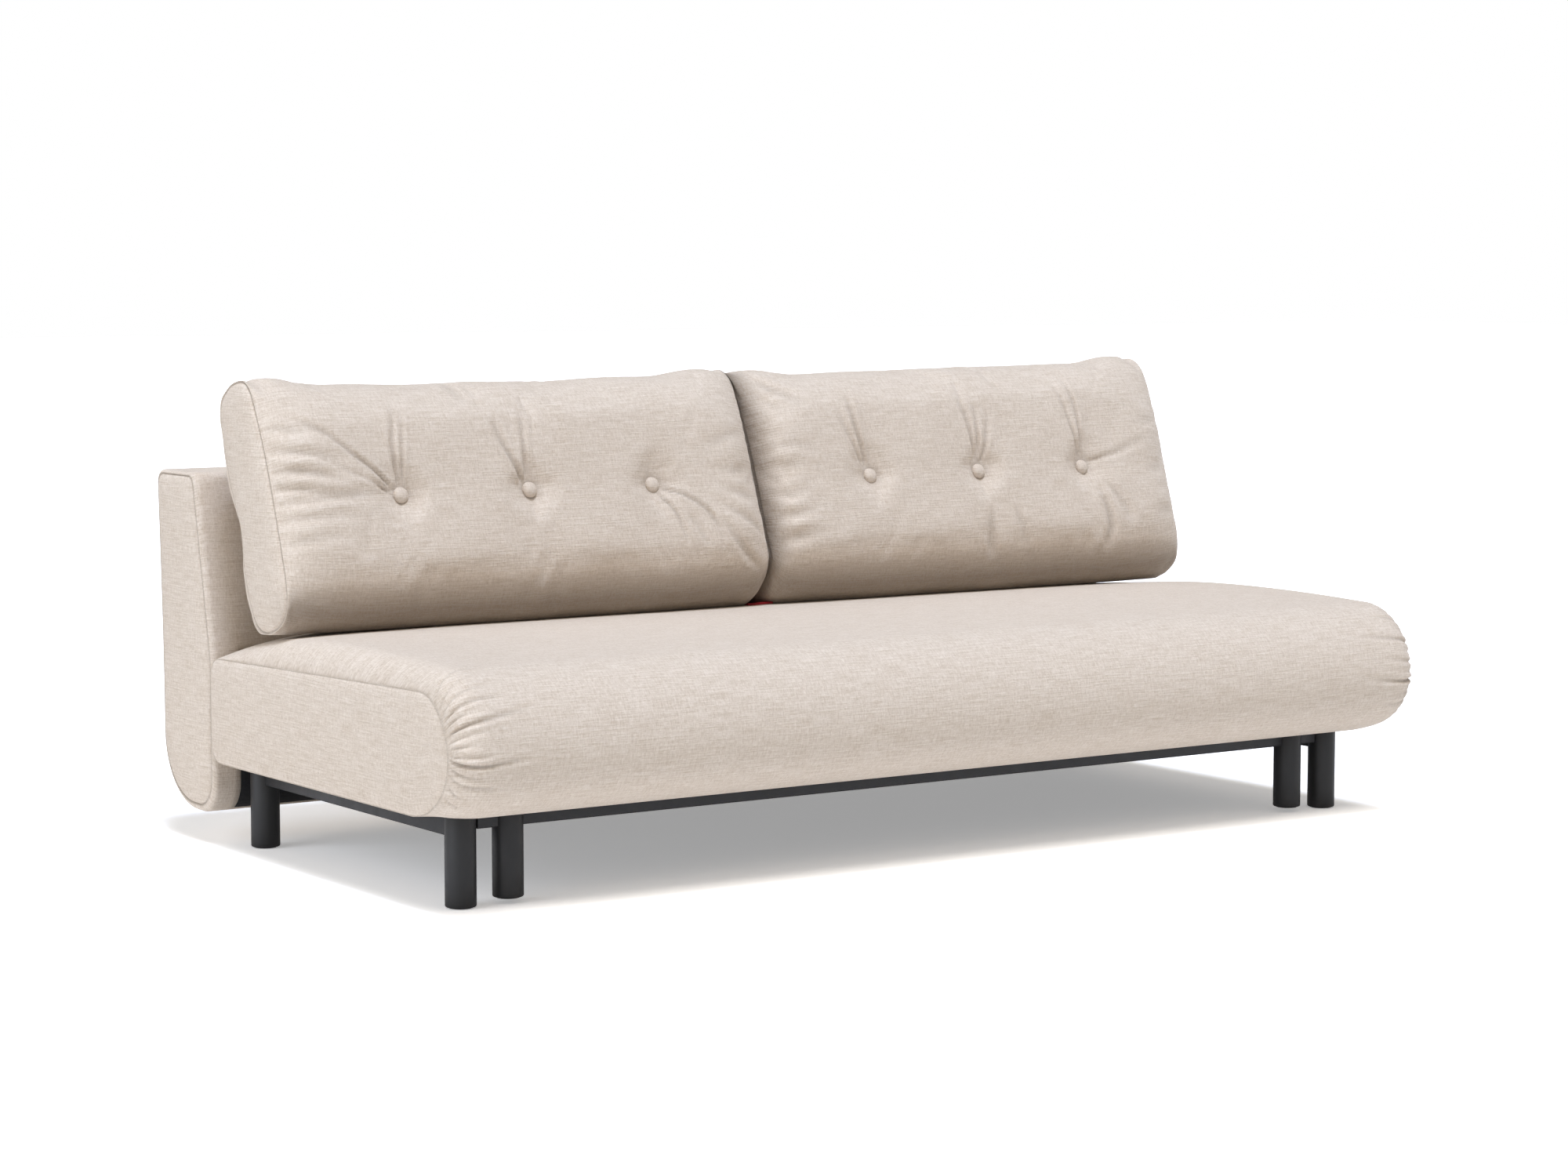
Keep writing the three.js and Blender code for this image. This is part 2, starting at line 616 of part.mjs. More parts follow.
const backPocketX = backHalfWidth - backPocketWall;
const backPocketBottom = backBottom + backPocketFloor;
const backPocketTop = backPocketBottom + backPocketHeight;
const backEndUprightX = backHalfWidth - backUprightInset;
const liningX = backHalfWidth - liningSideInset;
const frameFrontY = pivotY + hingeBossRadius + slotMargin + leafBackThickness + fit;
const frameRearY = frameFrontY + backFrameThickness;
const wedge = loft(backRings, backPanelBulge)
  .subtract(box([-backPocketX, backFrontY - overrun, backPocketBottom],
    [backPocketX, frameRearY + fit, backPocketTop]))
  .subtract(plateX(liningOutline(-overrun, liningThickness + fit, liningTop + fit, liningWrap),
    -liningX - fit, liningX + fit));
add('backrest', 'backrest_upholstery', wedge, fabric);

const slotHalf = bracketThickness / 2 + hingeSideGap;
const slotBottom = bracketBottom - slotMargin;
const slotTop = pivotZ + hingeBossRadius + slotMargin;
const liningEnd = liningWrap - liningEndTurn;
let liningPanel = plateX(liningOutline(0, liningThickness, liningTop, liningEnd), -liningX, liningX);
for (const [, side] of sides) {
  const x = side * hingeX;
  liningPanel = liningPanel.subtract(box(
    [x - slotHalf, backFrontY - overrun, slotBottom], [x + slotHalf, pivotY, slotTop]));
}
add('backrest', 'backrest_lining', liningPanel, lining);

const backFrameX = backPocketX - fit;
const lowRailTop = backPocketBottom + fit + backFrameRailHeight;
const highRailBottom = backPocketTop - fit - backFrameRailHeight;
add('backrest', 'backrest_frame_rail_lower', box(
  [-backFrameX, frameFrontY, backPocketBottom + fit], [backFrameX, frameRearY, lowRailTop]), plywood);
add('backrest', 'backrest_frame_rail_upper', box(
  [-backFrameX, frameFrontY, highRailBottom], [backFrameX, frameRearY, backPocketTop - fit]), plywood);
for (const [word, side] of sides) {
  for (const [place, at] of [['end', backEndUprightX], ['hinge', hingeX]]) {
    const x = side * at;
    add('backrest', `backrest_upright_${place}_${word}`, box(
      [x - backUprightWidth / 2, frameFrontY, lowRailTop + fit],
      [x + backUprightWidth / 2, frameRearY, highRailBottom - fit]), plywood);
  }
  const x = side * hingeX;
  const leafRearY = frameFrontY - fit;
  const leafFaceY = leafRearY - leafBackThickness;
  let leaf = box([x - leafBackWidth / 2, leafFaceY, pivotZ - leafBackHeight / 2],
    [x + leafBackWidth / 2, leafRearY, pivotZ + leafBackHeight / 2]);
  for (const step of [-1, 1]) {
    const near = bracketThickness / 2 + hingeSideGap;
    const [x0, x1] = across(step, near, near + leafPlateThickness);
    leaf = leaf
      .add(box([x + x0, pivotY, pivotZ - leafPlateHeight / 2],
        [x + x1, leafFaceY + leafBackThickness / 2, pivotZ + leafPlateHeight / 2]))
      .add(rod('x', hingeBossRadius, x + x0, x + x1, [pivotY, pivotZ], bossSides));
  }
  const hole = rod('x', pinRadius + pinClearance, x - leafBackWidth, x + leafBackWidth,
    [pivotY, pivotZ], pinFacets);
  add('backrest', `hinge_leaf_${word}`, leaf.subtract(hole), steel);
}

// Pull strap, sewn to the seat's top where the two cushions meet

// Height of the seat's full top at a depth, read off its middle outline.
const seatProfile = seatOutline(1, 1, 0).slice(rollSteps, -bottomShares.length - cornerTurns.length);
function seatTopAt(y) {
  const next = Math.max(1, seatProfile.findIndex(([at]) => at >= y));
  const [[y0, z0], [y1, z1]] = [seatProfile[next - 1], seatProfile[next]];
  return z0 + (z1 - z0) * (y - y0) / (y1 - y0);
}

// Corners of a sheet that follows the seat's top at a height over it.
function seatTopLine(from, to, height) {
  const between = seatProfile.map(([y]) => y).filter((y) => y > from && y < to);
  return [from, ...between, to].map((y) => [y, seatTopAt(y) + height]);
}

const strapOutline = (low, high, from, to) =>
  [...seatTopLine(from, to, low), ...seatTopLine(from, to, high).reverse()];
const strapX = [-strapWidth / 2, strapWidth / 2];
add('seat', 'pull_strap', plateX(
  strapOutline(fit, fit + strapThickness, strapFrontY, strapRearY), ...strapX), webbing);

// Loose back cushions: a boxed form with crowned faces and three buttoned tufts

const lean = THREE.MathUtils.degToRad(cushionLean);
const halfGusset = cushionGusset / 2;

// Powers: the higher, the flatter the middle and the tighter the fall to the seam.
const crownAcross = 6;
const crownUp = 4;
const topAcross = 12;
const tuftFade = 6;
const tuftSharpness = 1.6;
const valleyShare = 0.3;         // the soft valley along a row of buttons, as a share of their depth
const valleySpreadShare = 0.8;
const seamDensityShare = 0.3;    // how far the cloth's grid is crowded towards the seams
const clothSteps = [28, 12, 4];  // the grid, across, up and through
const domeShares = [[0, 0], [0.9, 0], [1, 0.3], [0.85, 0.7], [0.5, 0.95], [0, 1]];
const buttonSides = 16;

const crownAt = (x, w) => (1 - Math.abs(x / cushionSeamHalfWidth) ** crownAcross)
  * (1 - Math.abs(w / cushionSeamHalfHeight) ** crownUp);

// How far a stretch of the front hangs back, nearing the foot or the head of the cushion.
const slump = (w, depth) => {
  const share = THREE.MathUtils.clamp((w - slumpFrom) / (cushionSeamHalfHeight - slumpFrom), 0, 1);
  return depth * share * share;
};

// A point of the unit box, carried to the cushion's own frame: across, up and forward.
function cushionPoint(a, b, c) {
  const half = [cushionSeamHalfWidth, cushionSeamHalfHeight];
  const flat = [a * half[0], b * half[1]];
  const inner = half.map((v) => v - cushionCornerRadius);
  const core = flat.map((v, i) => THREE.MathUtils.clamp(v, -inner[i], inner[i]));
  const off = flat.map((v, i) => v - core[i]);
  const reach = Math.max(...off.map(Math.abs)) / (Math.hypot(...off) || 1);
  const [x, w] = core.map((v, i) => v + off[i] * reach);
  const belly = 1 - c * c;
  const face = c > 0 ? cushionFrontCrown : cushionRearCrown;
  const sag = (slump(-w, footSlump) + slump(w, headSlump)) * (1 + c) / 2;
  return new THREE.Vector3(
    x + a * cushionEndCrown * (1 - b * b) * belly,
    w + b * cushionTopCrown * (1 - Math.abs(a) ** topAcross) * belly,
    c * (halfGusset + face * crownAt(x, w)) - sag,
  );
}

// How far the cloth is pulled in at a place on a face by the three buttons.
function tuftPull(x, w) {
  const dimples = [-1, 0, 1].map((step) =>
    Math.exp(-tuftSharpness * Math.hypot(x - step * tuftSpacing, w - tuftHeight) ** 2 / tuftSpread ** 2));
  const valley = Math.exp(-(((w - tuftHeight) / tuftSpread / valleySpreadShare) ** 2));
  return tuftDepth * Math.max(dimples[0] + dimples[1] + dimples[2], valleyShare * valley);
}

function cushionForm() {
  const geometry = new THREE.BoxGeometry(2, 2, 2, ...clothSteps);
  const place = geometry.attributes.position;
  const spread = (v) => THREE.MathUtils.lerp(v, Math.sin(v * Math.PI / 2), seamDensityShare);
  for (let i = 0; i < place.count; i += 1) {
    const [a, b] = [place.getX(i), place.getY(i)].map(spread);
    const c = place.getZ(i);
    const p = cushionPoint(a, b, c);
    const onFace = Math.abs(c) === 1 ? c : 0;
    const fade = [a, b].map((share) => 1 - Math.abs(share) ** tuftFade);
    p.z -= onFace * tuftPull(p.x, p.y) * fade[0] * fade[1];
    place.setXYZ(i, p.x, p.y, p.z);
  }
  return geometry;
}

// From the cushion's own frame (across, up, forward) to the sofa's, leaning back on the backrest.
const up = new THREE.Vector3(0, Math.sin(lean), Math.cos(lean));
const forward = new THREE.Vector3(0, -Math.cos(lean), Math.sin(lean));
const cushionMiddle = new THREE.Vector3(0, backFrontY - cushionReach, seatRearTop + cushionRise)
  .addScaledVector(forward, -halfGusset);
const standing = new THREE.Matrix4()
  .makeBasis(new THREE.Vector3(1, 0, 0), up, forward)
  .setPosition(cushionMiddle);
const faceTurn = new THREE.Quaternion().setFromUnitVectors(new THREE.Vector3(0, 1, 0), forward);

const buttonProfile = domeShares.map(([r, h]) => new THREE.Vector2(r * buttonRadius, h * buttonHeight));
const far = seatHalfWidth * 2;
const behindRest = plateX([
  [backFrontY - fit, 0], [backFrontY - fit, backBreakZ], [topFrontY - fit, backTop],
  [topFrontY - fit, far], [far, far], [far, 0],
], -far, far);
const seatFrontY = seatRollCentreY + overrun;
const underSeatTop = plateX([
  [seatFrontY, 0], ...seatTopLine(seatFrontY, seatRearY - seatRearRadius, fit),
  [far, seatRearTop], [far, 0],
], -far, far);
const strapRoom = plateX(
  strapOutline(-overrun, fit + strapThickness + fit, strapFrontY - fit, strapRearY + fit),
  strapX[0] - fit, strapX[1] + fit);

for (const [word, side] of sides) {
  const middle = new THREE.Matrix4().makeTranslation(side * cushionCentreX, 0, 0).multiply(standing);
  const [x0, x1] = across(side, cushionHalfGap, far);
  let cushion = solid(cushionForm().applyMatrix4(middle))
    .intersect(box([x0, -far, 0], [x1, far, far]))
    .subtract(behindRest)
    .subtract(underSeatTop)
    .subtract(strapRoom);
  for (const step of [-1, 0, 1]) {
    const x = step * tuftSpacing;
    const depth = halfGusset + cushionFrontCrown * crownAt(x, tuftHeight) - tuftPull(x, tuftHeight);
    const spot = new THREE.Vector3(x, tuftHeight, depth).applyMatrix4(middle);
    const seated = (geometry) =>
      solid(geometry.applyQuaternion(faceTurn).translate(spot.x, spot.y, spot.z));
    const socketRadius = buttonRadius + buttonSocketGap;
    const socket = new THREE.CylinderGeometry(socketRadius, socketRadius, tuftSpread, buttonSides);
    cushion = cushion.subtract(seated(socket.translate(0, tuftSpread / 2 - fit, 0)));
    const button = seated(new THREE.LatheGeometry(buttonProfile, buttonSides));
    add(`cushion_${word}`, `button_${word}_${step + 2}`, button, fabric);
  }
  add(`cushion_${word}`, `back_cushion_${word}`, cushion, fabric);
}

// The origin goes to the middle of the footprint, on the floor
const middleY = new THREE.Box3().setFromObject(sofa).getCenter(new THREE.Vector3()).y;
sofa.traverse((node) => {
  if (node.isMesh) node.geometry.translate(0, -middleY, 0);
});

export default sofa;
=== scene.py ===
# %% [markdown]
# # A sofa bed with buttoned back cushions
#
# The sofa stands on a black steel frame. A deep mattress with a round front edge is the seat, a
# wedge behind it is the backrest, and two loose cushions lean against that. The measured frame is
# loaded first, and every piece below is made around it, in metres, where the frame says.

# %% Load the measured frame
import math

import bmesh
import bpy
import numpy as np
from mathutils import Matrix, Vector


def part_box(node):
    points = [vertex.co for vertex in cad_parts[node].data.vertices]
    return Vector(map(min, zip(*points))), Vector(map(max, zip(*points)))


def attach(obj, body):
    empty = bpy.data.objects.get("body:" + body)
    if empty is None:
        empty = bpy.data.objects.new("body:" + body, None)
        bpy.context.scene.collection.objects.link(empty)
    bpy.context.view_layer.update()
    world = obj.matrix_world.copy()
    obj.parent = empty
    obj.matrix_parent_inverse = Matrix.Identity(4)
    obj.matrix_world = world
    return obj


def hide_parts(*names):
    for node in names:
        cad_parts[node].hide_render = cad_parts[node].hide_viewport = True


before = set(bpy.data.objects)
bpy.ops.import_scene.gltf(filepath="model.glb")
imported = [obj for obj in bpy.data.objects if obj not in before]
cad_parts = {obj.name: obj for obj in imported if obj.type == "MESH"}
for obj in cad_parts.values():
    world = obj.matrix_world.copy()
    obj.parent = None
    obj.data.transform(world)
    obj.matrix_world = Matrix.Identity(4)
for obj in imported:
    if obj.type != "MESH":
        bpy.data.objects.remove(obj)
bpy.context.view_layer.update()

# %% [markdown]
# ## Camera
#
# The photograph was taken from the front left, a little above the seat, with a long lens, which
# keeps the far end from looking small. Place, turn and lens were worked out from the edges of the
# six legs, so they are typed in as they are.

# %% Camera
MM = 0.001
CAMERA_PLACE = (-3.5327, -5.1511, 1.0019)
CAMERA_PITCH = math.radians(90 - 5.28)
CAMERA_YAW = math.radians(-34.23)

bpy.ops.object.camera_add(location=CAMERA_PLACE, rotation=(CAMERA_PITCH, 0, CAMERA_YAW))
camera = bpy.context.object
camera.data.sensor_width = 36
camera.data.lens = 80.37
camera.data.clip_end = 200
bpy.context.scene.camera = camera

# %% [markdown]
# ## Light
#
# The studio is plain: a dim white room, one broad lamp high in front, a smaller and
# cooler one overhead that draws the edge of the shadow, and a broad one that fills the left side. Sun lamps with a
# wide angle give soft shadows that are equal all over the floor. Together they light a surface
# that faces up at a level close to one, so that a colour renders about as it is written.

# %% Light
def sun(name, toward, level, spread, colour):
    """A lamp in the direction given. A level of 1 shows a white surface that faces it as white."""
    turn = Vector(toward).to_track_quat("Z", "Y").to_euler()
    bpy.ops.object.light_add(type="SUN", rotation=turn)
    lamp = bpy.context.object
    lamp.name = name
    lamp.data.energy = level * math.pi
    lamp.data.angle = math.radians(spread)
    lamp.data.color = colour


sun("lamp_front", (-0.07, -0.37, 0.92), 0.51, 24, (1.03, 0.98, 0.90))
sun("lamp_overhead", (-0.06, -0.25, 0.97), 0.34, 10, (0.87, 1.08, 1.55))
sun("lamp_left", (-0.93, 0.05, 0.34), 0.39, 50, (0.97, 1.01, 1.09))

ROOM_LOW, ROOM_HIGH = 0.06, 0.22
world = bpy.data.worlds.new("room")
world.use_nodes = True
bpy.context.scene.world = world
bpy.context.scene.view_settings.view_transform = "Standard"

# %% [markdown]
# ## Node helpers
#
# Every finish is a small tree of shader nodes. Two helpers keep them short: one adds a node with
# its settings and its inputs, and one starts a material. An input that is given another node's
# output is linked to it, and any other value is typed into the socket.

# %% Node helpers
def node(tree, kind, settings=None, inputs=None):
    """Adds a shader node, and returns it."""
    made = tree.nodes.new("ShaderNode" + kind)
    for key, value in (settings or {}).items():
        setattr(made, key, value)
    for key, value in (inputs or {}).items():
        if isinstance(value, bpy.types.NodeSocket):
            tree.links.new(value, made.inputs[key])
        else:
            made.inputs[key].default_value = value
    return made


def blend_colour(tree, factor, first, second):
    """A colour between two, by a factor."""
    made = node(tree, "Mix", {"data_type": "RGBA"}, {0: factor, 6: first, 7: second})
    return made.outputs[2]


def start_material(name, roughness, metallic=0.0):
    """A material, its node tree and its shader."""
    material = bpy.data.materials.new(name)
    material.use_nodes = True
    shader = material.node_tree.nodes["Principled BSDF"]
    shader.inputs["Roughness"].default_value = roughness
    shader.inputs["Metallic"].default_value = metallic
    return material, material.node_tree, shader


def grain(tree, source, scale, detail=2.0):
    """Noise on coordinates that are stretched by a scale for each axis, in features per metre."""
    stretched = node(tree, "Mapping", None, {"Vector": source, "Scale": scale})
    return node(tree, "TexNoise", None, {"Vector": stretched.outputs[0], "Scale": 1.0, "Detail": detail}).outputs[0]


def spread(tree, value, low, high, new_low=0.0, new_high=1.0):
    """Stretches a stretch of a value's range, because noise stays close to its middle."""
    return node(tree, "MapRange", None, {
        "Value": value, "From Min": low, "From Max": high, "To Min": new_low, "To Max": new_high}).outputs[0]


def sum_of(tree, first, second, operation="ADD"):
    return node(tree, "Math", {"operation": operation}, {0: first, 1: second}).outputs[0]


def relief(tree, shader, height, distance, strength=1.0):
    """Bump, as deep as a distance in metres."""
    made = node(tree, "Bump", None, {"Height": height, "Distance": distance, "Strength": strength})
    tree.links.new(made.outputs[0], shader.inputs["Normal"])


# %% [markdown]
# ## White room and floor
#
# The picture's ground is pure white with a soft grey shadow. The room shows as white to the camera
# and in gloss, and lights the sofa more gently than it looks. The floor is a wide white sheet that
# takes the shadow. It glows a little, as a lit studio floor does. To the camera it glows a little
# more and is a little whiter, so that it joins the room without a horizon.

# %% White room and floor
tree = world.node_tree
tree.nodes.clear()
rays = node(tree, "LightPath")
seen = sum_of(tree, rays.outputs["Is Camera Ray"], rays.outputs["Is Glossy Ray"], "MAXIMUM")
height = node(tree, "SeparateXYZ", None, {0: node(tree, "TexCoord").outputs["Generated"]}).outputs["Z"]
level = spread(tree, height, 0.0, 1.0, ROOM_LOW, ROOM_HIGH)
lit = node(tree, "Background", None, {"Color": (1.0, 0.985, 0.96, 1), "Strength": level})
shown = node(tree, "Background", None, {"Color": (1, 1, 1, 1), "Strength": 1.0})
either = node(tree, "MixShader", None, {0: seen, 1: lit.outputs[0], 2: shown.outputs[0]})
node(tree, "OutputWorld", None, {0: either.outputs[0]})

bpy.ops.mesh.primitive_plane_add(size=80)
floor = bpy.context.object
floor.name = "floor"
floor_paint = bpy.data.materials.new("white_floor")
floor_paint.use_nodes = True
tree = floor_paint.node_tree
tree.nodes.clear()
rays = node(tree, "LightPath")
white = blend_colour(tree, rays.outputs["Is Camera Ray"], (0.90, 0.88, 0.85, 1), (1.2, 1.2, 1.2, 1))
matt = node(tree, "BsdfDiffuse", None, {"Color": white})
level = spread(tree, rays.outputs["Is Camera Ray"], 0.0, 1.0, 0.13, 0.33)
glow = node(tree, "Emission", None, {"Color": (1, 1, 1, 1), "Strength": level})
both = node(tree, "AddShader", None, {0: matt.outputs[0], 1: glow.outputs[0]})
node(tree, "OutputMaterial", None, {0: both.outputs[0]})
floor.data.materials.append(floor_paint)

# %% [markdown]
# ## Linen-like fabric
#
# The cover is a plain weave in cream and sand with slubs: yarns that run thick and thin for a few
# centimetres. Regular waves would shimmer at this distance, so both yarn directions are noise that
# is stretched along the yarn, on a map in real metres that follows each piece of cloth. The same
# noise tints the yarns and lifts them, and a little sheen gives the soft edge of brushed fibre.
# Shade is painted into the cloth's colour: each piece carries a value that is high where it lies in
# shade, down in a seam or a fold, where a cushion rests or meets the other one and round a button,
# and the finish is drawn towards a dark brown by it.

# %% Linen-like fabric
def woven_fabric(name, light, dark, painted_shade_colour):
    material, tree, shader = start_material(name, 0.92)
    shader.inputs["Specular IOR Level"].default_value = 0.15
    shader.inputs["Sheen Weight"].default_value = 0.18
    shader.inputs["Sheen Roughness"].default_value = 0.45
    shader.inputs["Sheen Tint"].default_value = (1.0, 0.96, 0.91, 1)
    cloth = node(tree, "TexCoord").outputs["UV"]
    weft = grain(tree, cloth, (20, 400, 1))
    warp = sum_of(tree, grain(tree, cloth, (330, 40, 1)), 0.6, "MULTIPLY")
    fine_weft = grain(tree, cloth, (130, 950, 1))
    fine_warp = grain(tree, cloth, (950, 130, 1))
    slubs = sum_of(tree, weft, warp)
    yarns = sum_of(tree, fine_weft, fine_warp)
    worn = grain(tree, cloth, (9, 9, 1), 3.0)
    woven = sum_of(tree, sum_of(tree, slubs, yarns), spread(tree, worn, 0.3, 0.7, -0.02, 0.02))
    colour = blend_colour(tree, spread(tree, woven, 1.42, 2.18), dark, light)
    # Painted shade: where the per-point shade value is high, the colour is drawn towards the dark brown shade colour.
    seam = node(tree, "Attribute", {"attribute_name": "seam"}).outputs["Fac"]
    shaded = blend_colour(tree, spread(tree, seam, 0.02, 1.0, 0.0, 0.92), colour, painted_shade_colour)
    tree.links.new(shaded, shader.inputs["Base Color"])
    height = sum_of(tree, slubs, sum_of(tree, yarns, 0.6, "MULTIPLY"))
    relief(tree, shader, height, 0.0011, 0.8)
    return material


# The fourth colour is the dark brown of the painted shade.
fabric = woven_fabric(
    "cream_linen_weave", (0.815, 0.728, 0.632, 1), (0.585, 0.484, 0.382, 1), (0.13, 0.094, 0.065, 1))

# %% [markdown]
# ## Paint, metal, felt and the hidden finishes
#
# The legs and rails are black powder coat, which is satin with a very fine orange peel. The hinge
# parts and runners are zinc plated, with blotches in their gloss. Felt, nylon, plywood, the black
# lining and the red webbing each get the grain that belongs to them. These pieces carry no map, so
# their patterns use the object's own coordinates.

# %% Paint, metal, felt and the hidden finishes
def powder_coat():
    material, tree, shader = start_material("black_powder_coat", 0.46)
    shader.inputs["Specular IOR Level"].default_value = 0.36
    here = node(tree, "TexCoord").outputs["Object"]
    peel = grain(tree, here, (900, 900, 900))
    tree.links.new(
        blend_colour(tree, grain(tree, here, (14, 14, 14), 4.0), (0.016, 0.016, 0.017, 1), (0.022, 0.022, 0.023, 1)),
        shader.inputs["Base Color"])
    tree.links.new(spread(tree, grain(tree, here, (40, 40, 40), 4.0), 0.3, 0.7, 0.42, 0.52), shader.inputs["Roughness"])
    relief(tree, shader, peel, 0.00012, 0.6)
    return material


def plated_steel():
    material, tree, shader = start_material("zinc_plated_steel", 0.35, 1.0)
    here = node(tree, "TexCoord").outputs["Object"]
    blotch = grain(tree, here, (60, 60, 60), 5.0)
    tree.links.new(blend_colour(tree, blotch, (0.42, 0.43, 0.45, 1), (0.62, 0.62, 0.60, 1)), shader.inputs["Base Color"])
    tree.links.new(spread(tree, blotch, 0.3, 0.7, 0.28, 0.48), shader.inputs["Roughness"])
    relief(tree, shader, grain(tree, here, (30, 900, 900)), 0.00008, 0.5)
    return material


def fibrous(name, dark, light, scale, depth, roughness=0.97):
    """Felt, lining and webbing: a matt stuff of fibres or yarns at a scale for each axis."""
    material, tree, shader = start_material(name, roughness)
    here = node(tree, "TexCoord").outputs["Object"]
    fibres = sum_of(tree, grain(tree, here, scale, 3.0), grain(tree, here, (scale[1], scale[0], scale[2]), 3.0))
    tree.links.new(blend_colour(tree, spread(tree, fibres, 0.75, 1.25), dark, light), shader.inputs["Base Color"])
    relief(tree, shader, fibres, depth, 0.8)
    return material


def layered_wood():
    material, tree, shader = start_material("birch_plywood", 0.6)
    here = node(tree, "TexCoord").outputs["Object"]
    figure = grain(tree, here, (6, 160, 160), 4.0)
    layers = grain(tree, here, (2, 2, 700))
    tint = sum_of(tree, spread(tree, figure, 0.35, 0.65), spread(tree, layers, 0.3, 0.7, -0.25, 0.25))
    tree.links.new(blend_colour(tree, tint, (0.42, 0.27, 0.14, 1), (0.66, 0.50, 0.31, 1)), shader.inputs["Base Color"])
    relief(tree, shader, figure, 0.0003, 0.5)
    return material


def moulded_nylon():
    material, tree, shader = start_material("black_nylon", 0.5)
    here = node(tree, "TexCoord").outputs["Object"]
    speckle = grain(tree, here, (400, 400, 400), 3.0)
    tree.links.new(blend_colour(tree, speckle, (0.012, 0.012, 0.013, 1), (0.03, 0.03, 0.032, 1)), shader.inputs["Base Color"])
    relief(tree, shader, speckle, 0.0001, 0.6)
    return material


FINISHES = {
    "fabric": fabric,
    "black_paint": powder_coat(),
    "steel": plated_steel(),
    "felt": fibrous("grey_felt", (0.02, 0.02, 0.02, 1), (0.07, 0.066, 0.062, 1), (500, 900, 500), 0.0006),
    "lining": fibrous("black_lining", (0.008, 0.008, 0.009, 1), (0.022, 0.022, 0.024, 1), (90, 1200, 1200), 0.0004),
    "webbing": fibrous("red_webbing", (0.22, 0.004, 0.008, 1), (0.46, 0.012, 0.02, 1), (500, 60, 500), 0.0008, 0.8),
    "plywood": layered_wood(),
    "nylon": moulded_nylon(),
}
print("finishes:", ", ".join(sorted(FINISHES)))

# %% [markdown]
# ## Finish for what comes from the frame
#
# Hinges, runners, wooden boards, glides and the lining have the right shape already, so
# they stay and only change their finish. The record says which slot each of them takes. On the
# steel, plywood, nylon and webbing pieces, a weld and a narrow bevel round the edges off, because a
# sharp edge catches no light.

# %% Finish for what comes from the frame
EDGE_ROUNDING = 0.0006
found = set()

for name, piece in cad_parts.items():
    slot = piece.data.materials[0].name
    found.add(slot)
    piece.data.materials.clear()
    piece.data.materials.append(FINISHES[slot])
    if slot in ("steel", "plywood", "nylon", "webbing"):
        piece.modifiers.new("weld", "WELD").merge_threshold = 1e-6
        rounding = piece.modifiers.new("rounding", "BEVEL")
        rounding.width = EDGE_ROUNDING
        rounding.segments = 2
        rounding.limit_method = "ANGLE"
        rounding.angle_limit = math.radians(40)
print("slots:", sorted(found))

# %% [markdown]
# ## Modelling helpers
#
# An operator acts on all that is selected, so each piece starts from nothing selected. Vertices and
# edges are then chosen in code, by where they are. A finished piece keeps its place in its mesh and
# its object at the origin, as the frame's own pieces do.

# %% Modelling helpers
def select_only(piece):
    bpy.ops.object.select_all(action="DESELECT")
    piece.select_set(True)
    bpy.context.view_layer.objects.active = piece


def choose(piece, mode, test):
    """In edit mode, selects the vertices or edges whose middle passes a test."""
    bpy.ops.mesh.select_mode(type=mode)
    bpy.ops.mesh.select_all(action="DESELECT")
    shape = bmesh.from_edit_mesh(piece.data)
    parts = {"VERT": shape.verts, "EDGE": shape.edges, "FACE": shape.faces}[mode]
    for part in parts:
        part.select = test(part)
    bmesh.update_edit_mesh(piece.data)


def finish_piece(piece, name, slot, smooth_angle=35):
    """Bakes the object's place into its mesh, gives it its finish and smooths what is round."""
    select_only(piece)
    bpy.ops.object.transform_apply(location=True, rotation=True, scale=True)
    bpy.ops.object.shade_smooth_by_angle(angle=math.radians(smooth_angle))
    piece.name = name
    piece.data.name = name
    piece.data.materials.clear()
    piece.data.materials.append(FINISHES[slot])
    return piece


def copy_to(piece, name, shift):
    """A copy with its own mesh, shifted."""
    twin = piece.copy()
    twin.data = piece.data.copy()
    twin.data.transform(Matrix.Translation(shift))
    twin.name = name
    twin.data.name = name
    bpy.context.collection.objects.link(twin)
    return twin


def places(mesh):
    found = np.empty(len(mesh.vertices) * 3)
    mesh.vertices.foreach_get("co", found)
    return found.reshape(-1, 3)


def put_places(mesh, points):
    mesh.vertices.foreach_set("co", np.asarray(points, float).ravel())
    mesh.update()


# %% [markdown]
# ## Legs
#
# A leg is a round steel tube, 50 mm across, that stands upright. It starts as a cylinder with
# enough sides to look round against the white floor. The rim of its foot is bevelled, as a
# powder-coated tube's rim is dressed. The four outer legs are alike, and the two inner ones hang
# from the seat's rail and are a little shorter, so two are modelled and the rest are copies.

# %% Legs
def tube_leg(node_name):
    low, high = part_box(node_name)
    bpy.ops.object.select_all(action="DESELECT")
    bpy.ops.mesh.primitive_cylinder_add(
        vertices=72, radius=(high.x - low.x) / 2, depth=high.z - low.z, location=(low + high) / 2)
    leg = bpy.context.object
    bpy.ops.object.mode_set(mode="EDIT")
    foot = -(high.z - low.z) / 2
    choose(leg, "EDGE", lambda e: all(abs(v.co.z - foot) < 1e-5 for v in e.verts))
    bpy.ops.mesh.bevel(offset=0.0028, segments=5, affect="EDGES")
    choose(leg, "EDGE", lambda e: all(abs(v.co.z + foot) < 1e-5 for v in e.verts))
    bpy.ops.mesh.bevel(offset=0.001, segments=2, affect="EDGES")
    bpy.ops.object.mode_set(mode="OBJECT")
    return finish_piece(leg, node_name.replace("leg", "tube_leg"), "black_paint")


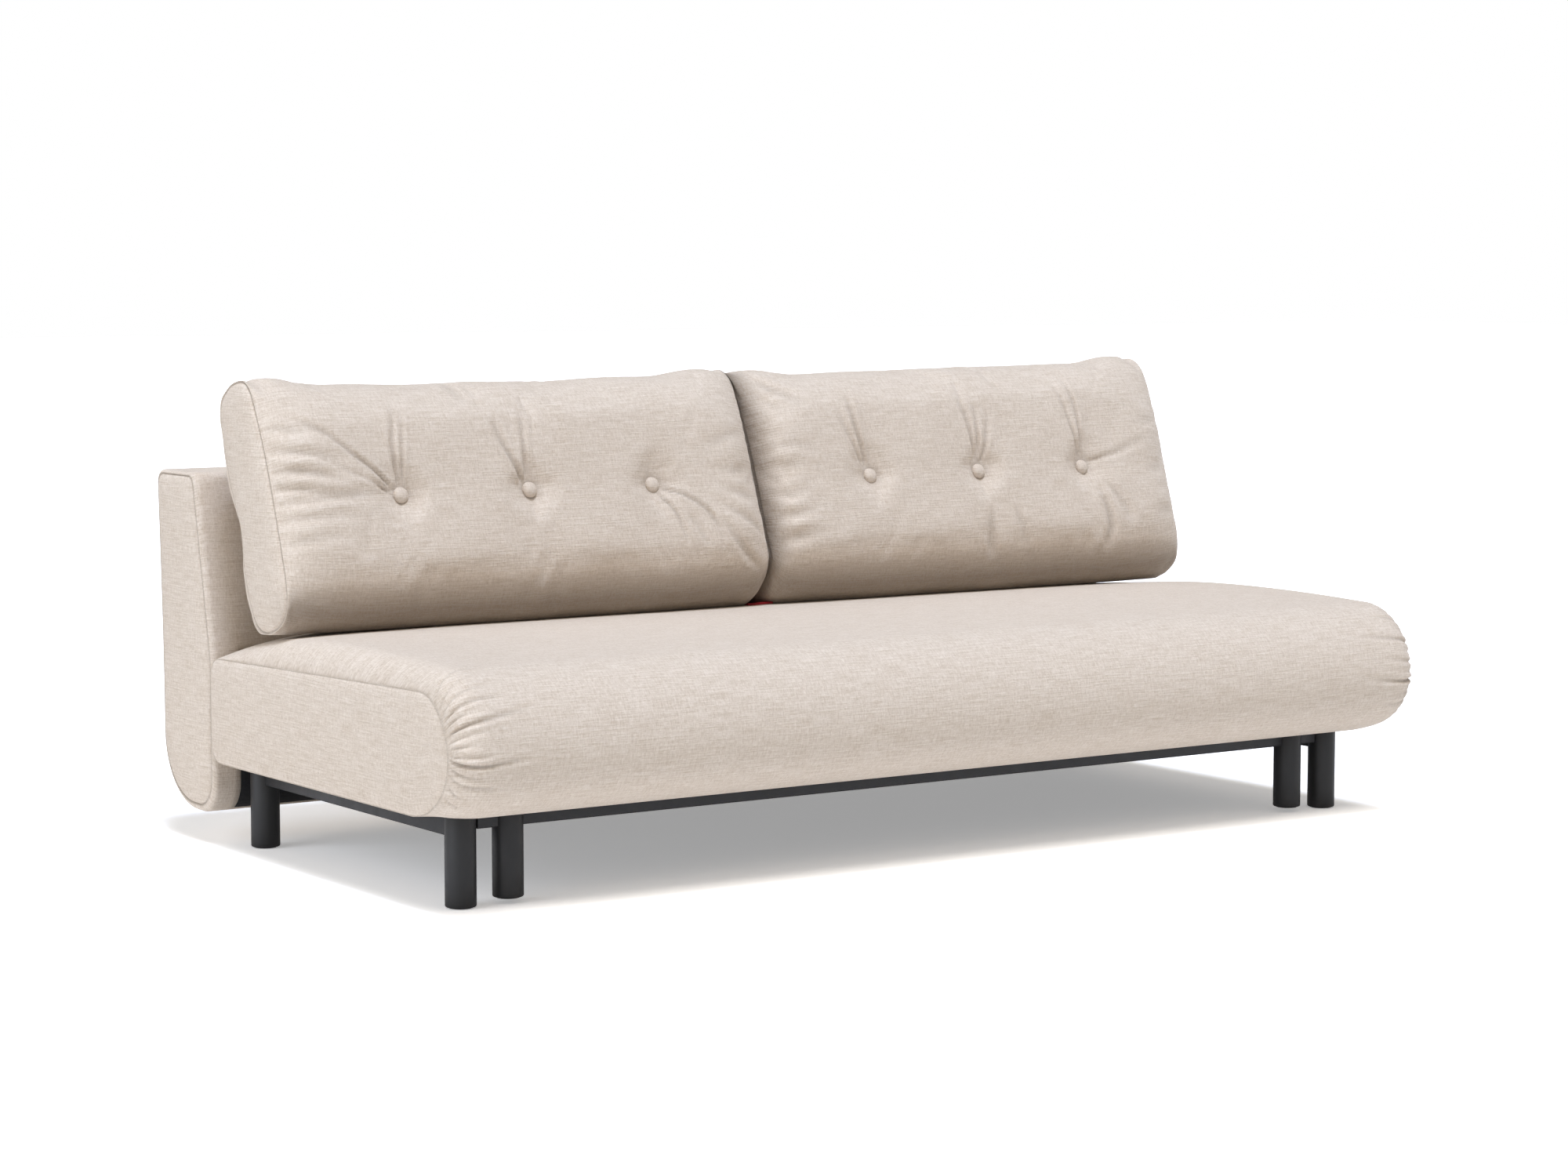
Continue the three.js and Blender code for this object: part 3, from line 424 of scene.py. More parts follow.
for first, body, others in (
    ("leg_front_left", "base", ["leg_front_right", "leg_rear_left", "leg_rear_right"]),
    ("carriage_leg_left", "seat", ["carriage_leg_right"]),
):
    leg = tube_leg(first)
    for other in others:
        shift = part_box(other)[0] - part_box(first)[0]
        twin = copy_to(leg, other.replace("leg", "tube_leg"), shift)
        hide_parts(other)
        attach(twin, body)
    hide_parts(first)
    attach(leg, body)

# %% [markdown]
# ## Rails
#
# The rails are square steel tube with softly rounded corners. Each starts as a cube of the rail's
# size, and its long edges are bevelled to the tube's corner radius, then its ends a little, as a
# plastic cap would close them.

# %% Rails
TUBE_CORNER = 0.003
RAILS = {
    "carriage_front_rail": "seat",
    "carriage_rear_rail": "seat",
    "carriage_side_rail_left": "seat",
    "carriage_side_rail_right": "seat",
    "base_side_rail_left": "base",
    "base_side_rail_right": "base",
    "base_rear_rail": "base",
}

for node_name, body in RAILS.items():
    low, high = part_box(node_name)
    size = high - low
    bpy.ops.object.select_all(action="DESELECT")
    bpy.ops.mesh.primitive_cube_add(size=1, location=(low + high) / 2, scale=size)
    rail = bpy.context.object
    bpy.ops.object.transform_apply(location=False, rotation=False, scale=True)
    along = max(range(3), key=lambda axis: size[axis])
    bpy.ops.object.mode_set(mode="EDIT")
    choose(rail, "EDGE", lambda e: abs((e.verts[0].co - e.verts[1].co)[along]) > size[along] / 2)
    bpy.ops.mesh.bevel(offset=TUBE_CORNER, segments=4, affect="EDGES")
    choose(rail, "EDGE", lambda e: all(abs(abs(v.co[along]) - size[along] / 2) < 1e-5 for v in e.verts)
           and e.calc_face_angle(0) > 1)
    bpy.ops.mesh.bevel(offset=0.0008, segments=2, affect="EDGES")
    bpy.ops.object.mode_set(mode="OBJECT")
    finish_piece(rail, "tube_" + node_name, "black_paint")
    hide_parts(node_name)
    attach(rail, body)
print("rails:", len(RAILS))

# %% [markdown]
# ## Cloth that is rolled round a form
#
# Seat, backrest and cushions are all made the same way: one long piece of cloth runs round the
# foam, and a flat panel is sewn in at each end. So each starts as a flat grid. Its columns are
# stations along the sofa and its rows go once round the outline, and the outline may change from
# station to station. The grid is rolled up, its open edges are welded, and the ends are closed with
# rings that step in from the seam, first down into the stitched groove and up again.

# %% Cloth that is rolled round a form
def rolled_cloth(name, stations, outlines):
    """A tube of cloth. outlines holds, for each station, its points in Y and Z."""
    columns, rows = outlines.shape[:2]
    bpy.ops.object.select_all(action="DESELECT")
    bpy.ops.mesh.primitive_grid_add(x_subdivisions=columns - 1, y_subdivisions=rows, size=2)
    cloth = bpy.context.object
    cloth.name = name
    mesh = cloth.data
    flat = places(mesh)
    column = np.rint((flat[:, 0] + 1) / 2 * (columns - 1)).astype(int)
    row = np.rint((flat[:, 1] + 1) / 2 * rows).astype(int)
    ring = outlines[column, row % rows]
    put_places(mesh, np.column_stack([np.asarray(stations)[column], ring]))
    middle = outlines[columns // 2]
    steps = np.linalg.norm(np.roll(middle, -1, axis=0) - middle, axis=1)
    run = np.concatenate([[0], np.cumsum(steps)])
    corner = np.empty(len(mesh.loops), int)
    mesh.loops.foreach_get("vertex_index", corner)
    cloth_map = np.column_stack([np.asarray(stations)[column], run[row]])[corner]
    mesh.uv_layers.active.data.foreach_set("uv", cloth_map.ravel())
    select_only(cloth)
    bpy.ops.object.mode_set(mode="EDIT")
    bpy.ops.mesh.select_all(action="SELECT")
    bpy.ops.mesh.remove_doubles(threshold=1e-6)
    bpy.ops.object.mode_set(mode="OBJECT")
    return cloth


def close_ends(cloth, spine, steps, rings, seam_shade=0.5):
    """Closes both ends. Each ring is a share of the way in to the spine, and how far out it stands.
    The last ring lands on the spine itself, on a few steps of it, and is welded there."""
    cover_faces = len(cloth.data.polygons)
    start, end = np.array(spine[0]), np.array(spine[1])
    run = end - start
    select_only(cloth)
    bpy.ops.object.mode_set(mode="EDIT")
    for side, stands in ((-1, rings[0]), (1, rings[-1])):
        choose(cloth, "EDGE", lambda e: e.is_boundary and e.verts[0].co.x * side > 0)
        shape = bmesh.from_edit_mesh(cloth.data)
        # Painted shade: the seam itself gets half of seam_shade, and the first ring in, down in the groove, gets all of
        # it.
        shade = shape.verts.layers.float.get("seam") or shape.verts.layers.float.new("seam")
        for v in shape.verts:
            if v.select:
                v[shade] = seam_shade / 2
        seam_x = next(v.co.x for v in shape.verts if v.select)
        before = 0.0
        for share, stand in [*stands, (1.0, stands[-1][1])]:
            bpy.ops.mesh.extrude_region_move()
            shape = bmesh.from_edit_mesh(cloth.data)
            shade = shape.verts.layers.float["seam"]
            step = (share - before) / (1 - before)
            for v in shape.verts:
                if v.select:
                    v[shade] = seam_shade if before == 0 else 0.0
                    here = np.array([v.co.y, v.co.z])
                    along = np.clip((here - start) @ run / (run @ run), 0, 1)
                    if share == 1:
                        along = round(along * steps) / steps
                    v.co.y, v.co.z = here + (start + along * run - here) * step
                    v.co.x = seam_x + side * stand
            before = share
            bmesh.update_edit_mesh(cloth.data)
        bpy.ops.mesh.remove_doubles(threshold=1e-6)
    bpy.ops.mesh.select_all(action="SELECT")
    bpy.ops.mesh.normals_make_consistent(inside=False)
    bpy.ops.object.mode_set(mode="OBJECT")
    mesh = cloth.data
    layer = mesh.uv_layers.active.data
    for face in mesh.polygons[cover_faces:]:
        for loop in face.loop_indices:
            place = mesh.vertices[mesh.loops[loop].vertex_index].co
            layer[loop].uv = (place.y, place.z)
    shape = bmesh.new()
    shape.from_mesh(mesh)
    print(cloth.name, "has", sum(1 for e in shape.edges if len(e.link_faces) != 2), "open edges")
    shape.free()
    return cloth


def apply_modifier(piece, name, kind, **settings):
    made = piece.modifiers.new(name, kind)
    for key, value in settings.items():
        setattr(made, key, value)
    select_only(piece)
    bpy.ops.object.modifier_apply(modifier=name)


def deepen_shade(mesh, more):
    """Adds to the painted shade: the value that tells the cloth's finish how deep in a seam, a fold or other shade each
    point lies, and so how much darker its colour is painted.
    """
    layer = mesh.attributes["seam"]
    found = np.empty(len(mesh.vertices))
    layer.data.foreach_get("value", found)
    layer.data.foreach_set("value", np.maximum(found, more))


def outward(mesh):
    found = np.empty(len(mesh.vertices) * 3)
    mesh.vertices.foreach_get("normal", found)
    return found.reshape(-1, 3)


# %% [markdown]
# ## Plumping with a cloth simulation
#
# Foam pushes its cover out wherever a seam or a button doesn't hold it. Blender's Cloth does that
# with an air pressure: seams and buttons are pinned, gravity is off, and twenty frames are enough.
# No point may move more than a cap, so the piece stays in the space it has.

# %% Plumping with a cloth simulation
def plump(cloth, pinned, cap, pressure=4.0, growth=0.0, frames=20):
    """Lets the cover swell between its pinned points, and keeps what it settles to."""
    mesh = cloth.data
    start = places(mesh).copy()
    group = cloth.vertex_groups.new(name="pinned")
    for index in np.nonzero(pinned > 0)[0]:
        group.add([int(index)], float(pinned[index]), "REPLACE")
    cover = cloth.modifiers.new("cover", "CLOTH")
    settings = cover.settings
    settings.quality = 5
    settings.mass = 0.35
    settings.tension_stiffness = 15
    settings.compression_stiffness = 12
    settings.shear_stiffness = 6
    settings.bending_stiffness = 0.6
    settings.use_pressure = True
    settings.uniform_pressure_force = pressure
    settings.shrink_min = -growth
    settings.vertex_group_mass = "pinned"
    settings.effector_weights.gravity = 0
    cover.collision_settings.use_collision = False
    cover.point_cache.frame_start = 1
    cover.point_cache.frame_end = frames
    scene = bpy.context.scene
    for number in range(1, frames + 1):
        scene.frame_set(number)
    shown = cloth.evaluated_get(bpy.context.evaluated_depsgraph_get())
    settled = places(shown.data).copy()
    cloth.modifiers.remove(cover)
    cloth.vertex_groups.remove(group)
    scene.frame_set(1)
    move = settled - start
    length = np.linalg.norm(move, axis=1)
    kept = cap * np.tanh(length / cap) / np.maximum(length, 1e-9)
    put_places(mesh, start + move * kept[:, None])
    print(f"{cloth.name}: moved up to {length.max() * 1000:.1f} mm, kept {(length * kept).max() * 1000:.1f} mm")


# %% [markdown]
# ## The seat's form
#
# The mattress is 1.97 m long. Its front is one full round roll, its top is almost level with a low
# crown, and each end has a flat panel whose outline is smaller than the middle, so that the cover
# rounds in to the seam over 42 mm. The outline is worked out for any fullness between the seam's
# and the middle's, and the top's rear corner fills up more slowly than the rest.

# %% The seat's form
DEPTH_SHIFT = -0.3942
SEAT_HALF = 0.987
SEAT_BOTTOM = 0.1491
SEAT_REAR = 0.7357
SEAT_END_INSET = 0.042
SEAT_CROWN = 0.011
ROLL_STEPS = 92
TOP_STEPS = 34


def between(first, second, share):
    return first + (second - first) * share


def seat_outline(full, rear_full):
    """One outline of the seat, in Y from the front legs' axis and Z."""
    centre = between(-0.012, -0.0528, full)
    depth = between(0.099, 0.1158, full)
    front_top = between(0.348, 0.386, full)
    corner_top = between(0.331, 0.374, rear_full)
    corner = between(0.031, 0.040, full)
    half = (front_top - SEAT_BOTTOM) / 2
    turn = np.linspace(-np.pi / 2, np.pi / 2, ROLL_STEPS + 1)
    roll = np.column_stack([centre - depth * np.cos(turn), SEAT_BOTTOM + half + half * np.sin(turn)])
    flat_rear = SEAT_REAR - corner
    share = np.linspace(0, 1, TOP_STEPS + 2)[1:-1]
    filled = between(full, rear_full, share**6)
    seam_line = between(0.348, 0.331, share)
    full_line = between(0.386, 0.374, share) + SEAT_CROWN * 4 * share * (1 - share)
    top = np.column_stack([centre + (flat_rear - centre) * share, between(seam_line, full_line, filled)])
    turn = np.radians(np.linspace(90, 0, 8))
    rear = np.column_stack([flat_rear + corner * np.cos(turn), corner_top - corner + corner * np.sin(turn)])
    low_corner = 0.031
    turn = np.radians(np.linspace(0, -90, 6))
    low = np.column_stack([
        SEAT_REAR - low_corner + low_corner * np.cos(turn), SEAT_BOTTOM + low_corner + low_corner * np.sin(turn)])
    share = np.linspace(0, 1, 14)[1:-1]
    under = np.column_stack([
        SEAT_REAR - low_corner + (centre - SEAT_REAR + low_corner) * share, np.full(len(share), SEAT_BOTTOM)])
    back = np.linspace(rear[-1], low[0], 6)[1:-1]
    return np.vstack([roll, top, rear, back, low, under])


def seat_stations():
    """Stations from one end to the other, close together where the cover rounds in and gathers."""
    quarter = np.linspace(0, 1, 12)
    rounding = SEAT_HALF - SEAT_END_INSET * (1 - np.cos(quarter * np.pi / 2))
    gathered = np.arange(rounding[-1] - 0.007, 0.84, -0.0085)
    middle = np.linspace(gathered[-1] - 0.02, 0.0, 26)
    half = np.concatenate([rounding, gathered, middle[:-1]])
    return np.concatenate([-half, [0.0], half[::-1]])


stations = seat_stations()
outlines = []
for x in stations:
    inside = np.clip((SEAT_HALF - abs(x)) / SEAT_END_INSET, 0, 1)
    full = np.sqrt(1 - (1 - inside) ** 2)
    outline = seat_outline(full, 1 - np.exp((abs(x) - SEAT_HALF) / 0.110))
    outlines.append(outline + [DEPTH_SHIFT, 0])
seat = rolled_cloth("seat_mattress_cover", stations, np.array(outlines))
SEAM_RINGS = [(0.012, -0.0012), (0.028, 0.0004), (0.06, 0.0018), (0.12, 0.0030), (0.25, 0.0044), (0.5, 0.0056), (0.75, 0.006)]
close_ends(seat, ((0.045 + DEPTH_SHIFT, 0.245), (0.65 + DEPTH_SHIFT, 0.24)), 9, [SEAM_RINGS], 0.3)
print("seat cover:", len(seat.data.vertices), "points")

# %% [markdown]
# ## Gathers round the ends of the seat's roll
#
# Too much cloth meets the end panel round the roll, so it is gathered there: pleats start in the
# seam, reach 20 to 110 mm along the roll, and fade. Each is written as the angle where it starts,
# the angle where it ends, its length and its depth in millimetres, with 0 degrees straight ahead
# and 90 on top. Small ones fill the seam evenly between them. The cover is pressed in along each
# pleat and raised on either side of it, and it swells a little past the seam.

# %% Gathers round the ends of the seat's roll
PLEATS = {
    -1: [(74, 88, 84, 2.6), (60, 70, 60, 2.6), (50, 56, 64, 3.4), (40, 45, 74, 4.4), (31, 36, 50, 3.6),
         (20, 33, 104, 5.6), (11, 18, 56, 3.6), (2, 9, 44, 3.4), (-7, -3, 50, 3.4), (-14, -6, 98, 5.6),
         (-24, -21, 42, 3.4), (-34, -28, 64, 3.8), (-48, -42, 44, 3.0), (-62, -54, 40, 2.6)],
    1: [(72, 84, 74, 2.8), (60, 66, 54, 3.0), (48, 56, 70, 4.0), (37, 43, 50, 3.4), (26, 36, 104, 5.6),
        (16, 20, 48, 3.4), (6, 13, 74, 4.4), (-3, 0, 44, 3.2), (-12, -5, 98, 5.6), (-24, -22, 52, 3.8),
        (-36, -30, 66, 4.0), (-50, -44, 44, 3.0)],
}
for side in (-1, 1):
    for count in range(22):
        start = -78 + 6.9 * count + 2.2 * math.sin(count * 2.4 + side)
        length = 38 + 20 * math.sin(count * 1.7 + side) ** 2
        PLEATS[side].append((start, start + 3 * math.sin(count), length, 1.6))
ROLL_CENTRE = (-0.0528 + DEPTH_SHIFT, 0.2665)
ROLL_RADIUS = 0.117


def crease(distance, width):
    """Across a fold: pressed in along its line, raised on both sides."""
    return -np.exp(-((distance / width) ** 2)) + 0.42 * np.exp(-(((np.abs(distance) - 1.9 * width) / width) ** 2))


apply_modifier(seat, "finer", "SUBSURF", levels=1)
mesh = seat.data
points = places(mesh)
normals = outward(mesh)
angle = np.arctan2(points[:, 2] - ROLL_CENTRE[1], ROLL_CENTRE[0] - points[:, 1])
on_roll = np.clip((ROLL_CENTRE[0] + 0.06 - points[:, 1]) / 0.06, 0, 1)
push = np.zeros(len(points))
for side, pleats in PLEATS.items():
    inward = SEAT_HALF - side * points[:, 0]
    surface_run = np.where(inward < SEAT_END_INSET, SEAT_END_INSET * np.arccos(
        np.clip(1 - inward / SEAT_END_INSET, -1, 1)), inward + SEAT_END_INSET * 0.57)
    on_cover = (inward > -0.0005) & (inward < 0.2)
    for start, end, length, depth in pleats:
        run = surface_run / (length * MM * 1.55)
        line = np.radians(start + (end - start) * np.clip(run, 0, 1))
        width = (0.0022 if depth < 2 else 0.0026) + 0.030 * np.clip(surface_run, 0, 0.12)
        rise = np.clip((surface_run - 0.003) / 0.018, 0, 1)
        fade = np.clip(1 - run, 0, 1) ** 1.1
        push += np.where(on_cover, depth * MM * rise * fade * crease((angle - line) * ROLL_RADIUS, width), 0)
    swell = np.sin(np.pi * np.clip(surface_run / 0.062, 0, 1)) * on_roll * np.clip(np.cos(angle), 0, 1) ** 0.5
    points[:, 0] += np.where(on_cover, side * 0.0085 * swell, 0)
    lift = np.clip(1 - np.abs(inward) / 0.075, 0, 1) ** 1.5 * on_roll * np.clip(-np.sin(angle), 0, 1)
    points[:, 2] += 0.009 * lift
points += normals * push[:, None]
put_places(mesh, points)
# Painted shade: the cloth's colour is darker in the pleats' valleys, by how deep each is pressed in.
deepen_shade(mesh, np.clip(-push / 0.010, 0, 0.35))
print(f"gathers: pressed in up to {-push.min() * 1000:.1f} mm, raised up to {push.max() * 1000:.1f} mm")

# %% [markdown]
# ## The seat's hollow
#
# Under the foam sits a wooden frame, so the mattress has a shallow pocket from below. A cube of the
# pocket's size is taken out with a Boolean, and then thrown away.

# %% The seat's hollow
def cut_box(piece, low, high):
    """Takes a box out of a piece."""
    low, high = Vector(low), Vector(high)
    bpy.ops.object.select_all(action="DESELECT")
    bpy.ops.mesh.primitive_cube_add(size=1, location=(low + high) / 2, scale=high - low)
    cutter = bpy.context.object
    bpy.ops.object.transform_apply(location=True, rotation=False, scale=True)
    apply_modifier(piece, "pocket", "BOOLEAN", operation="DIFFERENCE", object=cutter, solver="EXACT")
    bpy.data.objects.remove(cutter)


board_low, board_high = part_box("seat_board_front")
rear_low, rear_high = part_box("seat_board_rear")
slat_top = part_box("seat_slat_1")[1].z
GAP = 0.0003
cut_box(seat,
        (board_low.x - GAP, board_low.y - GAP, SEAT_BOTTOM - 0.01),
        (board_high.x + GAP, rear_high.y + GAP, slat_top + GAP))


def finish_soft(piece, name, fill, body, *stands_for):
    select_only(piece)
    bpy.ops.object.shade_smooth()
    piece.name = name
    piece.data.name = name
    piece.data.materials.clear()
    piece.data.materials.append(fabric)
    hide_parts(*stands_for)
    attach(piece, body)
    print(name, "has", len(piece.data.polygons), "faces")


finish_soft(seat, "seat_mattress_cover", 0.9, "seat", "seat_mattress")

# %% [markdown]
# ## The backrest's form
#
# The backrest is a wedge: upright in front as high as the seat, then leaning back, with a straight
# rear face and a large round lower edge that clears the floor as it folds. Its cover is stretched
# tight, so its ends are flat panels with one seam, drawn in by only 11 mm. Where the black lining
# lies, the cover steps back by the lining's thickness. Its front is painted a little darker, as
# shade that the cushions cast on it.

# %% The backrest's form
BACK_HALF = 0.982
BACK_FRONT, BACK_REAR, BACK_REAR_TOP = 0.736, 0.943, 0.957
BACK_BOTTOM, BACK_BREAK, BACK_TOP = 0.0545, 0.324, 0.644
BACK_TOP_FRONT = BACK_REAR_TOP - 0.162
LINING_HALF = 0.9323
LINING_TOP = 0.3363
LINING_WRAP = 62
LINING_DEPTH = 0.0033


def round_edge(centre, radius, start, end, steps):
    turn = np.radians(np.linspace(start, end, steps + 1))
    return np.column_stack([centre[0] + radius * np.cos(turn), centre[1] + radius * np.sin(turn)])


def back_outline(inset, recessed):
    front, rear = BACK_FRONT + inset, BACK_REAR - inset / 2
    bottom, top = BACK_BOTTOM + inset, BACK_TOP - inset / 2
    front_radius, rear_radius, top_radius = 0.058 - inset / 2, 0.124 - inset / 2, 0.020
    step = LINING_DEPTH if recessed else 0.0
    centre = (front + front_radius, bottom + front_radius)
    turn = 180 + LINING_WRAP
    under = round_edge(centre, front_radius, 270, turn, 4)
    wrapped = round_edge(centre, front_radius - step, turn, 180, 14)
    rise = np.linspace(0.09, 1, 14)
    low_front = np.column_stack([np.full(14, front + step), between(centre[1], LINING_TOP, rise)])
    top_front = between(front, BACK_TOP_FRONT + inset, (LINING_TOP - BACK_BREAK) / (top - BACK_BREAK))
    low_front[-2:, 0] += [0, top_front - front]
    share = np.linspace(0, 1, 22)[:-1]
    lean = np.column_stack([between(top_front, BACK_TOP_FRONT + inset, share), between(LINING_TOP, top - top_radius, share)])
    front_edge = round_edge((BACK_TOP_FRONT + inset + top_radius, top - top_radius), top_radius, 172, 90, 7)
    rear_edge = round_edge((BACK_REAR_TOP - inset / 2 - top_radius, top - top_radius), top_radius, 90, 0, 7)
    crown = np.linspace(front_edge[-1], rear_edge[0], 8)[1:-1]
    share = np.linspace(0, 1, 24)[1:-1]
    face = np.column_stack([between(rear_edge[-1][0], rear, np.sin(share * np.pi / 2)), between(rear_edge[-1][1], bottom + rear_radius, share)])
    rear_low = round_edge((rear - rear_radius, bottom + rear_radius), rear_radius, 0, -90, 16)
    base = np.linspace(rear_low[-1], under[0], 8)[1:-1]
    return np.vstack([under, wrapped, low_front, lean, front_edge, crown, rear_edge, face, rear_low, base])


def back_stations():
    quarter = np.linspace(0, 1, 7)
    ends = BACK_HALF - 0.010 * (1 - np.cos(quarter * np.pi / 2))
    border = [0.96, 0.945, LINING_HALF + 0.0002]
    inner = [LINING_HALF, 0.92, 0.90, 0.85]
    middle = np.linspace(0.8, 0.0, 17)
    half = np.concatenate([ends, border, inner, middle[:-1]])
    return np.concatenate([-half, [0.0], half[::-1]])


stations = back_stations()
outlines = []
for x in stations:
    inside = np.clip((BACK_HALF - abs(x)) / 0.010, 0, 1)
    full = np.sqrt(1 - (1 - inside) ** 2)
    outlines.append(back_outline(0.011 * (1 - full), abs(x) <= LINING_HALF) + [DEPTH_SHIFT, 0])
back = rolled_cloth("backrest_cover", stations, np.array(outlines))
close_ends(back, ((0.855 + DEPTH_SHIFT, 0.17), (0.872 + DEPTH_SHIFT, 0.56)), 10, [[
    (0.018, -0.0030), (0.038, 0.0), (0.07, 0.0014), (0.14, 0.0026), (0.3, 0.0042), (0.6, 0.005)]])
# Painted shade: the cloth's colour is a little darker where it faces forward, as shade from the cushions.
painted_front_shade = np.clip(-outward(back.data)[:, 1] * 1.4, 0, 1)
deepen_shade(back.data, 0.12 * painted_front_shade)
rail_low, rail_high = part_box("backrest_frame_rail_lower")
upper_low, upper_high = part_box("backrest_frame_rail_upper")
cut_box(back,
        (rail_low.x - GAP, BACK_FRONT + DEPTH_SHIFT - 0.005, rail_low.z - GAP),
        (rail_high.x + GAP, rail_high.y + GAP, upper_high.z + GAP))
finish_soft(back, "backrest_cover", 0.95, "backrest", "backrest_upholstery")

# %% [markdown]
# ## The back cushions' form
#
# A cushion is 0.98 m long and leans back 20 degrees. Its end panel is a long shape with round ends,
# 148 mm thick, and between the ends the filling crowns the front by 50 mm and the rear by 100. Both
# outlines are written as twenty points in the cushion's own plane, up and forward, and a smooth
# closed curve runs through them. Three buttons pull the front in, and three more the rear. The
# outer end is rounder than the inner one, which is pressed against the other cushion.

# %% The back cushions' form
OUTER_END, INNER_END = -0.476, 0.4855
CUSHION_LEAN = math.radians(20)
UP = np.array([math.sin(CUSHION_LEAN), math.cos(CUSHION_LEAN)])
FORWARD = np.array([-math.cos(CUSHION_LEAN), math.sin(CUSHION_LEAN)])
CUSHION_MIDDLE = np.array([0.2002, 0.571])
END_POINTS = [
    (-191, 0), (-187, 28), (-170, 57), (-128, 71), (-70, 74), (10, 75), (90, 73), (152, 67), (204, 58), (230, 38),
    (239, 0), (236, -28), (224, -54), (190, -68), (120, -73), (40, -74), (-50, -75), (-120, -73), (-166, -62), (-186, -35)]
FULL_POINTS = [
    (-205, -22), (-202, 12), (-186, 54), (-146, 96), (-84, 122), (10, 128), (90, 125), (150, 112), (200, 82), (226, 46),
    (237, 0), (232, -45), (212, -90), (172, -130), (110, -165), (30, -174), (-60, -170), (-130, -155), (-175, -115), (-200, -65)]
FRONT_STEPS, REAR_STEPS = 10, 4
BUTTON_SPACING = 0.251
BUTTON_HEIGHT = 0.008


def closed_curve(points):
    """A smooth closed curve through points, in finer steps along its front, where the folds are."""
    points = np.array(points, float) * MM
    total = len(points)
    at = np.concatenate([
        index + np.arange(count) / count
        for index, count in enumerate([FRONT_STEPS] * (total // 2) + [REAR_STEPS] * (total - total // 2))])
    index = at.astype(int)
    t = (at - index)[:, None]
    p0, p1, p2, p3 = (points[(index + k) % total] for k in (-1, 0, 1, 2))
    return 0.5 * (2 * p1 + (p2 - p0) * t + (2 * p0 - 5 * p1 + 4 * p2 - p3) * t**2 + (3 * p1 - p0 - 3 * p2 + p3) * t**3)


def button_pull(across, up, depth, valley):
    """How far three buttons draw the cover in, and the soft valley along their row."""
    pulls = sum(np.exp(-1.6 * ((across - k * BUTTON_SPACING) ** 2 + (up - BUTTON_HEIGHT) ** 2) / 0.070**2) for k in (-1, 0, 1))
    row = valley * np.exp(-(((up - BUTTON_HEIGHT) / 0.05) ** 2))
    return depth * np.maximum(pulls, row)


def cushion_stations():
    """From the outer end, which rounds off over 50 mm, to the inner one, which its neighbour squares."""
    quarter = np.linspace(0, np.pi / 2, 10)
    outer = OUTER_END + 0.050 * (1 - np.cos(quarter))
    inner = INNER_END - 0.034 * (1 - np.cos(quarter))
    middle = np.linspace(outer[-1], inner[-1], 134)[1:-1]
    return np.concatenate([outer, middle, inner[::-1]])


def fullness(across):
    """0 at an end's seam and 1 in the middle."""
    return (1 - (across / OUTER_END) ** 7) ** 0.75 if across < 0 else (1 - (across / INNER_END) ** 10) ** 0.75


def ears(across):
    """The upper corners stand up, and the middle of the top sinks a little between them."""
    rise, breadth = (0.0105, 0.052) if across < 0 else (0.008, 0.060)
    return rise * math.exp(-(((abs(across) - 0.420) / breadth) ** 2)) - 0.003 * (1 - (across / 0.48) ** 2)


end_curve = closed_curve(END_POINTS)
full_curve = closed_curve(FULL_POINTS)
stations = cushion_stations()
outlines = []
for x in stations:
    full = fullness(x)
    local = between(end_curve, full_curve, full)
    up, forward = local[:, 0], local[:, 1]
    faded = full**1.2 * np.clip(1 - (np.abs(up) / 0.215) ** 6, 0, 1)
    front = button_pull(x, up, 0.032, 0.38) * faded * (forward > 0.02)
    rear = button_pull(x, up, 0.030, 0.5) * np.clip(1 - (np.abs(up) / 0.215) ** 6, 0, 1) * (forward < -0.02)
    forward = forward - front + rear
    up = up + ears(x) * np.clip((up - 0.08) / 0.12, 0, 1) ** 2
    outlines.append(CUSHION_MIDDLE + np.outer(up, UP) + np.outer(forward, FORWARD))
cushion = rolled_cloth("cushion_form", stations, np.array(outlines))
spine_low = CUSHION_MIDDLE - 0.12 * UP
spine_high = CUSHION_MIDDLE + 0.16 * UP
close_ends(cushion, (spine_low, spine_high), 14, [
    [(0.030, -0.0032), (0.060, 0.0006), (0.10, 0.0030), (0.18, 0.0050), (0.35, 0.0076), (0.65, 0.0095)],
    [(0.030, -0.0006), (0.060, 0.0010), (0.10, 0.0020), (0.18, 0.0026), (0.35, 0.0030), (0.65, 0.0032)]])
print("cushion:", len(cushion.data.vertices), "points")

# %% [markdown]
# ## Plumping the cushion
#
# The seams and the buttons are held, and the rest swells. Growth lets the cover be a little larger
# than the form, which is what makes it ripple between its buttons and seams. Both cushions are sewn
# alike, so the left one is simulated, and the right one is its mirror image before each gets folds
# of its own.

# %% Plumping the cushion
def cushion_frame(points):
    """Across, up and forward, in the cushion's own frame."""
    flat = points[:, 1:] - CUSHION_MIDDLE
    return points[:, 0], flat @ UP, flat @ FORWARD


points = places(cushion.data)
across, up, forward = cushion_frame(points)
held = np.zeros(len(points))
held[(across < OUTER_END + 0.0015) | (across > INNER_END - 0.0015)] = 1.0
near_button = np.min([np.hypot(across - k * BUTTON_SPACING, up - BUTTON_HEIGHT) for k in (-1, 0, 1)], axis=0)
held[near_button < 0.014] = 1.0
plump(cushion, held, cap=0.009, pressure=2.5, growth=0.012)
apply_modifier(cushion, "finer", "SUBSURF", levels=1)

# %% [markdown]
# ## Folds of the left and right cushion
#
# Each fold runs from a button or a seam outwards. It is written as points across and up in
# millimetres, with its width and depth, and it is deepest at its start. Folds that start at a seam
# are the puckers of the sewing. The cushions differ only in these lists.

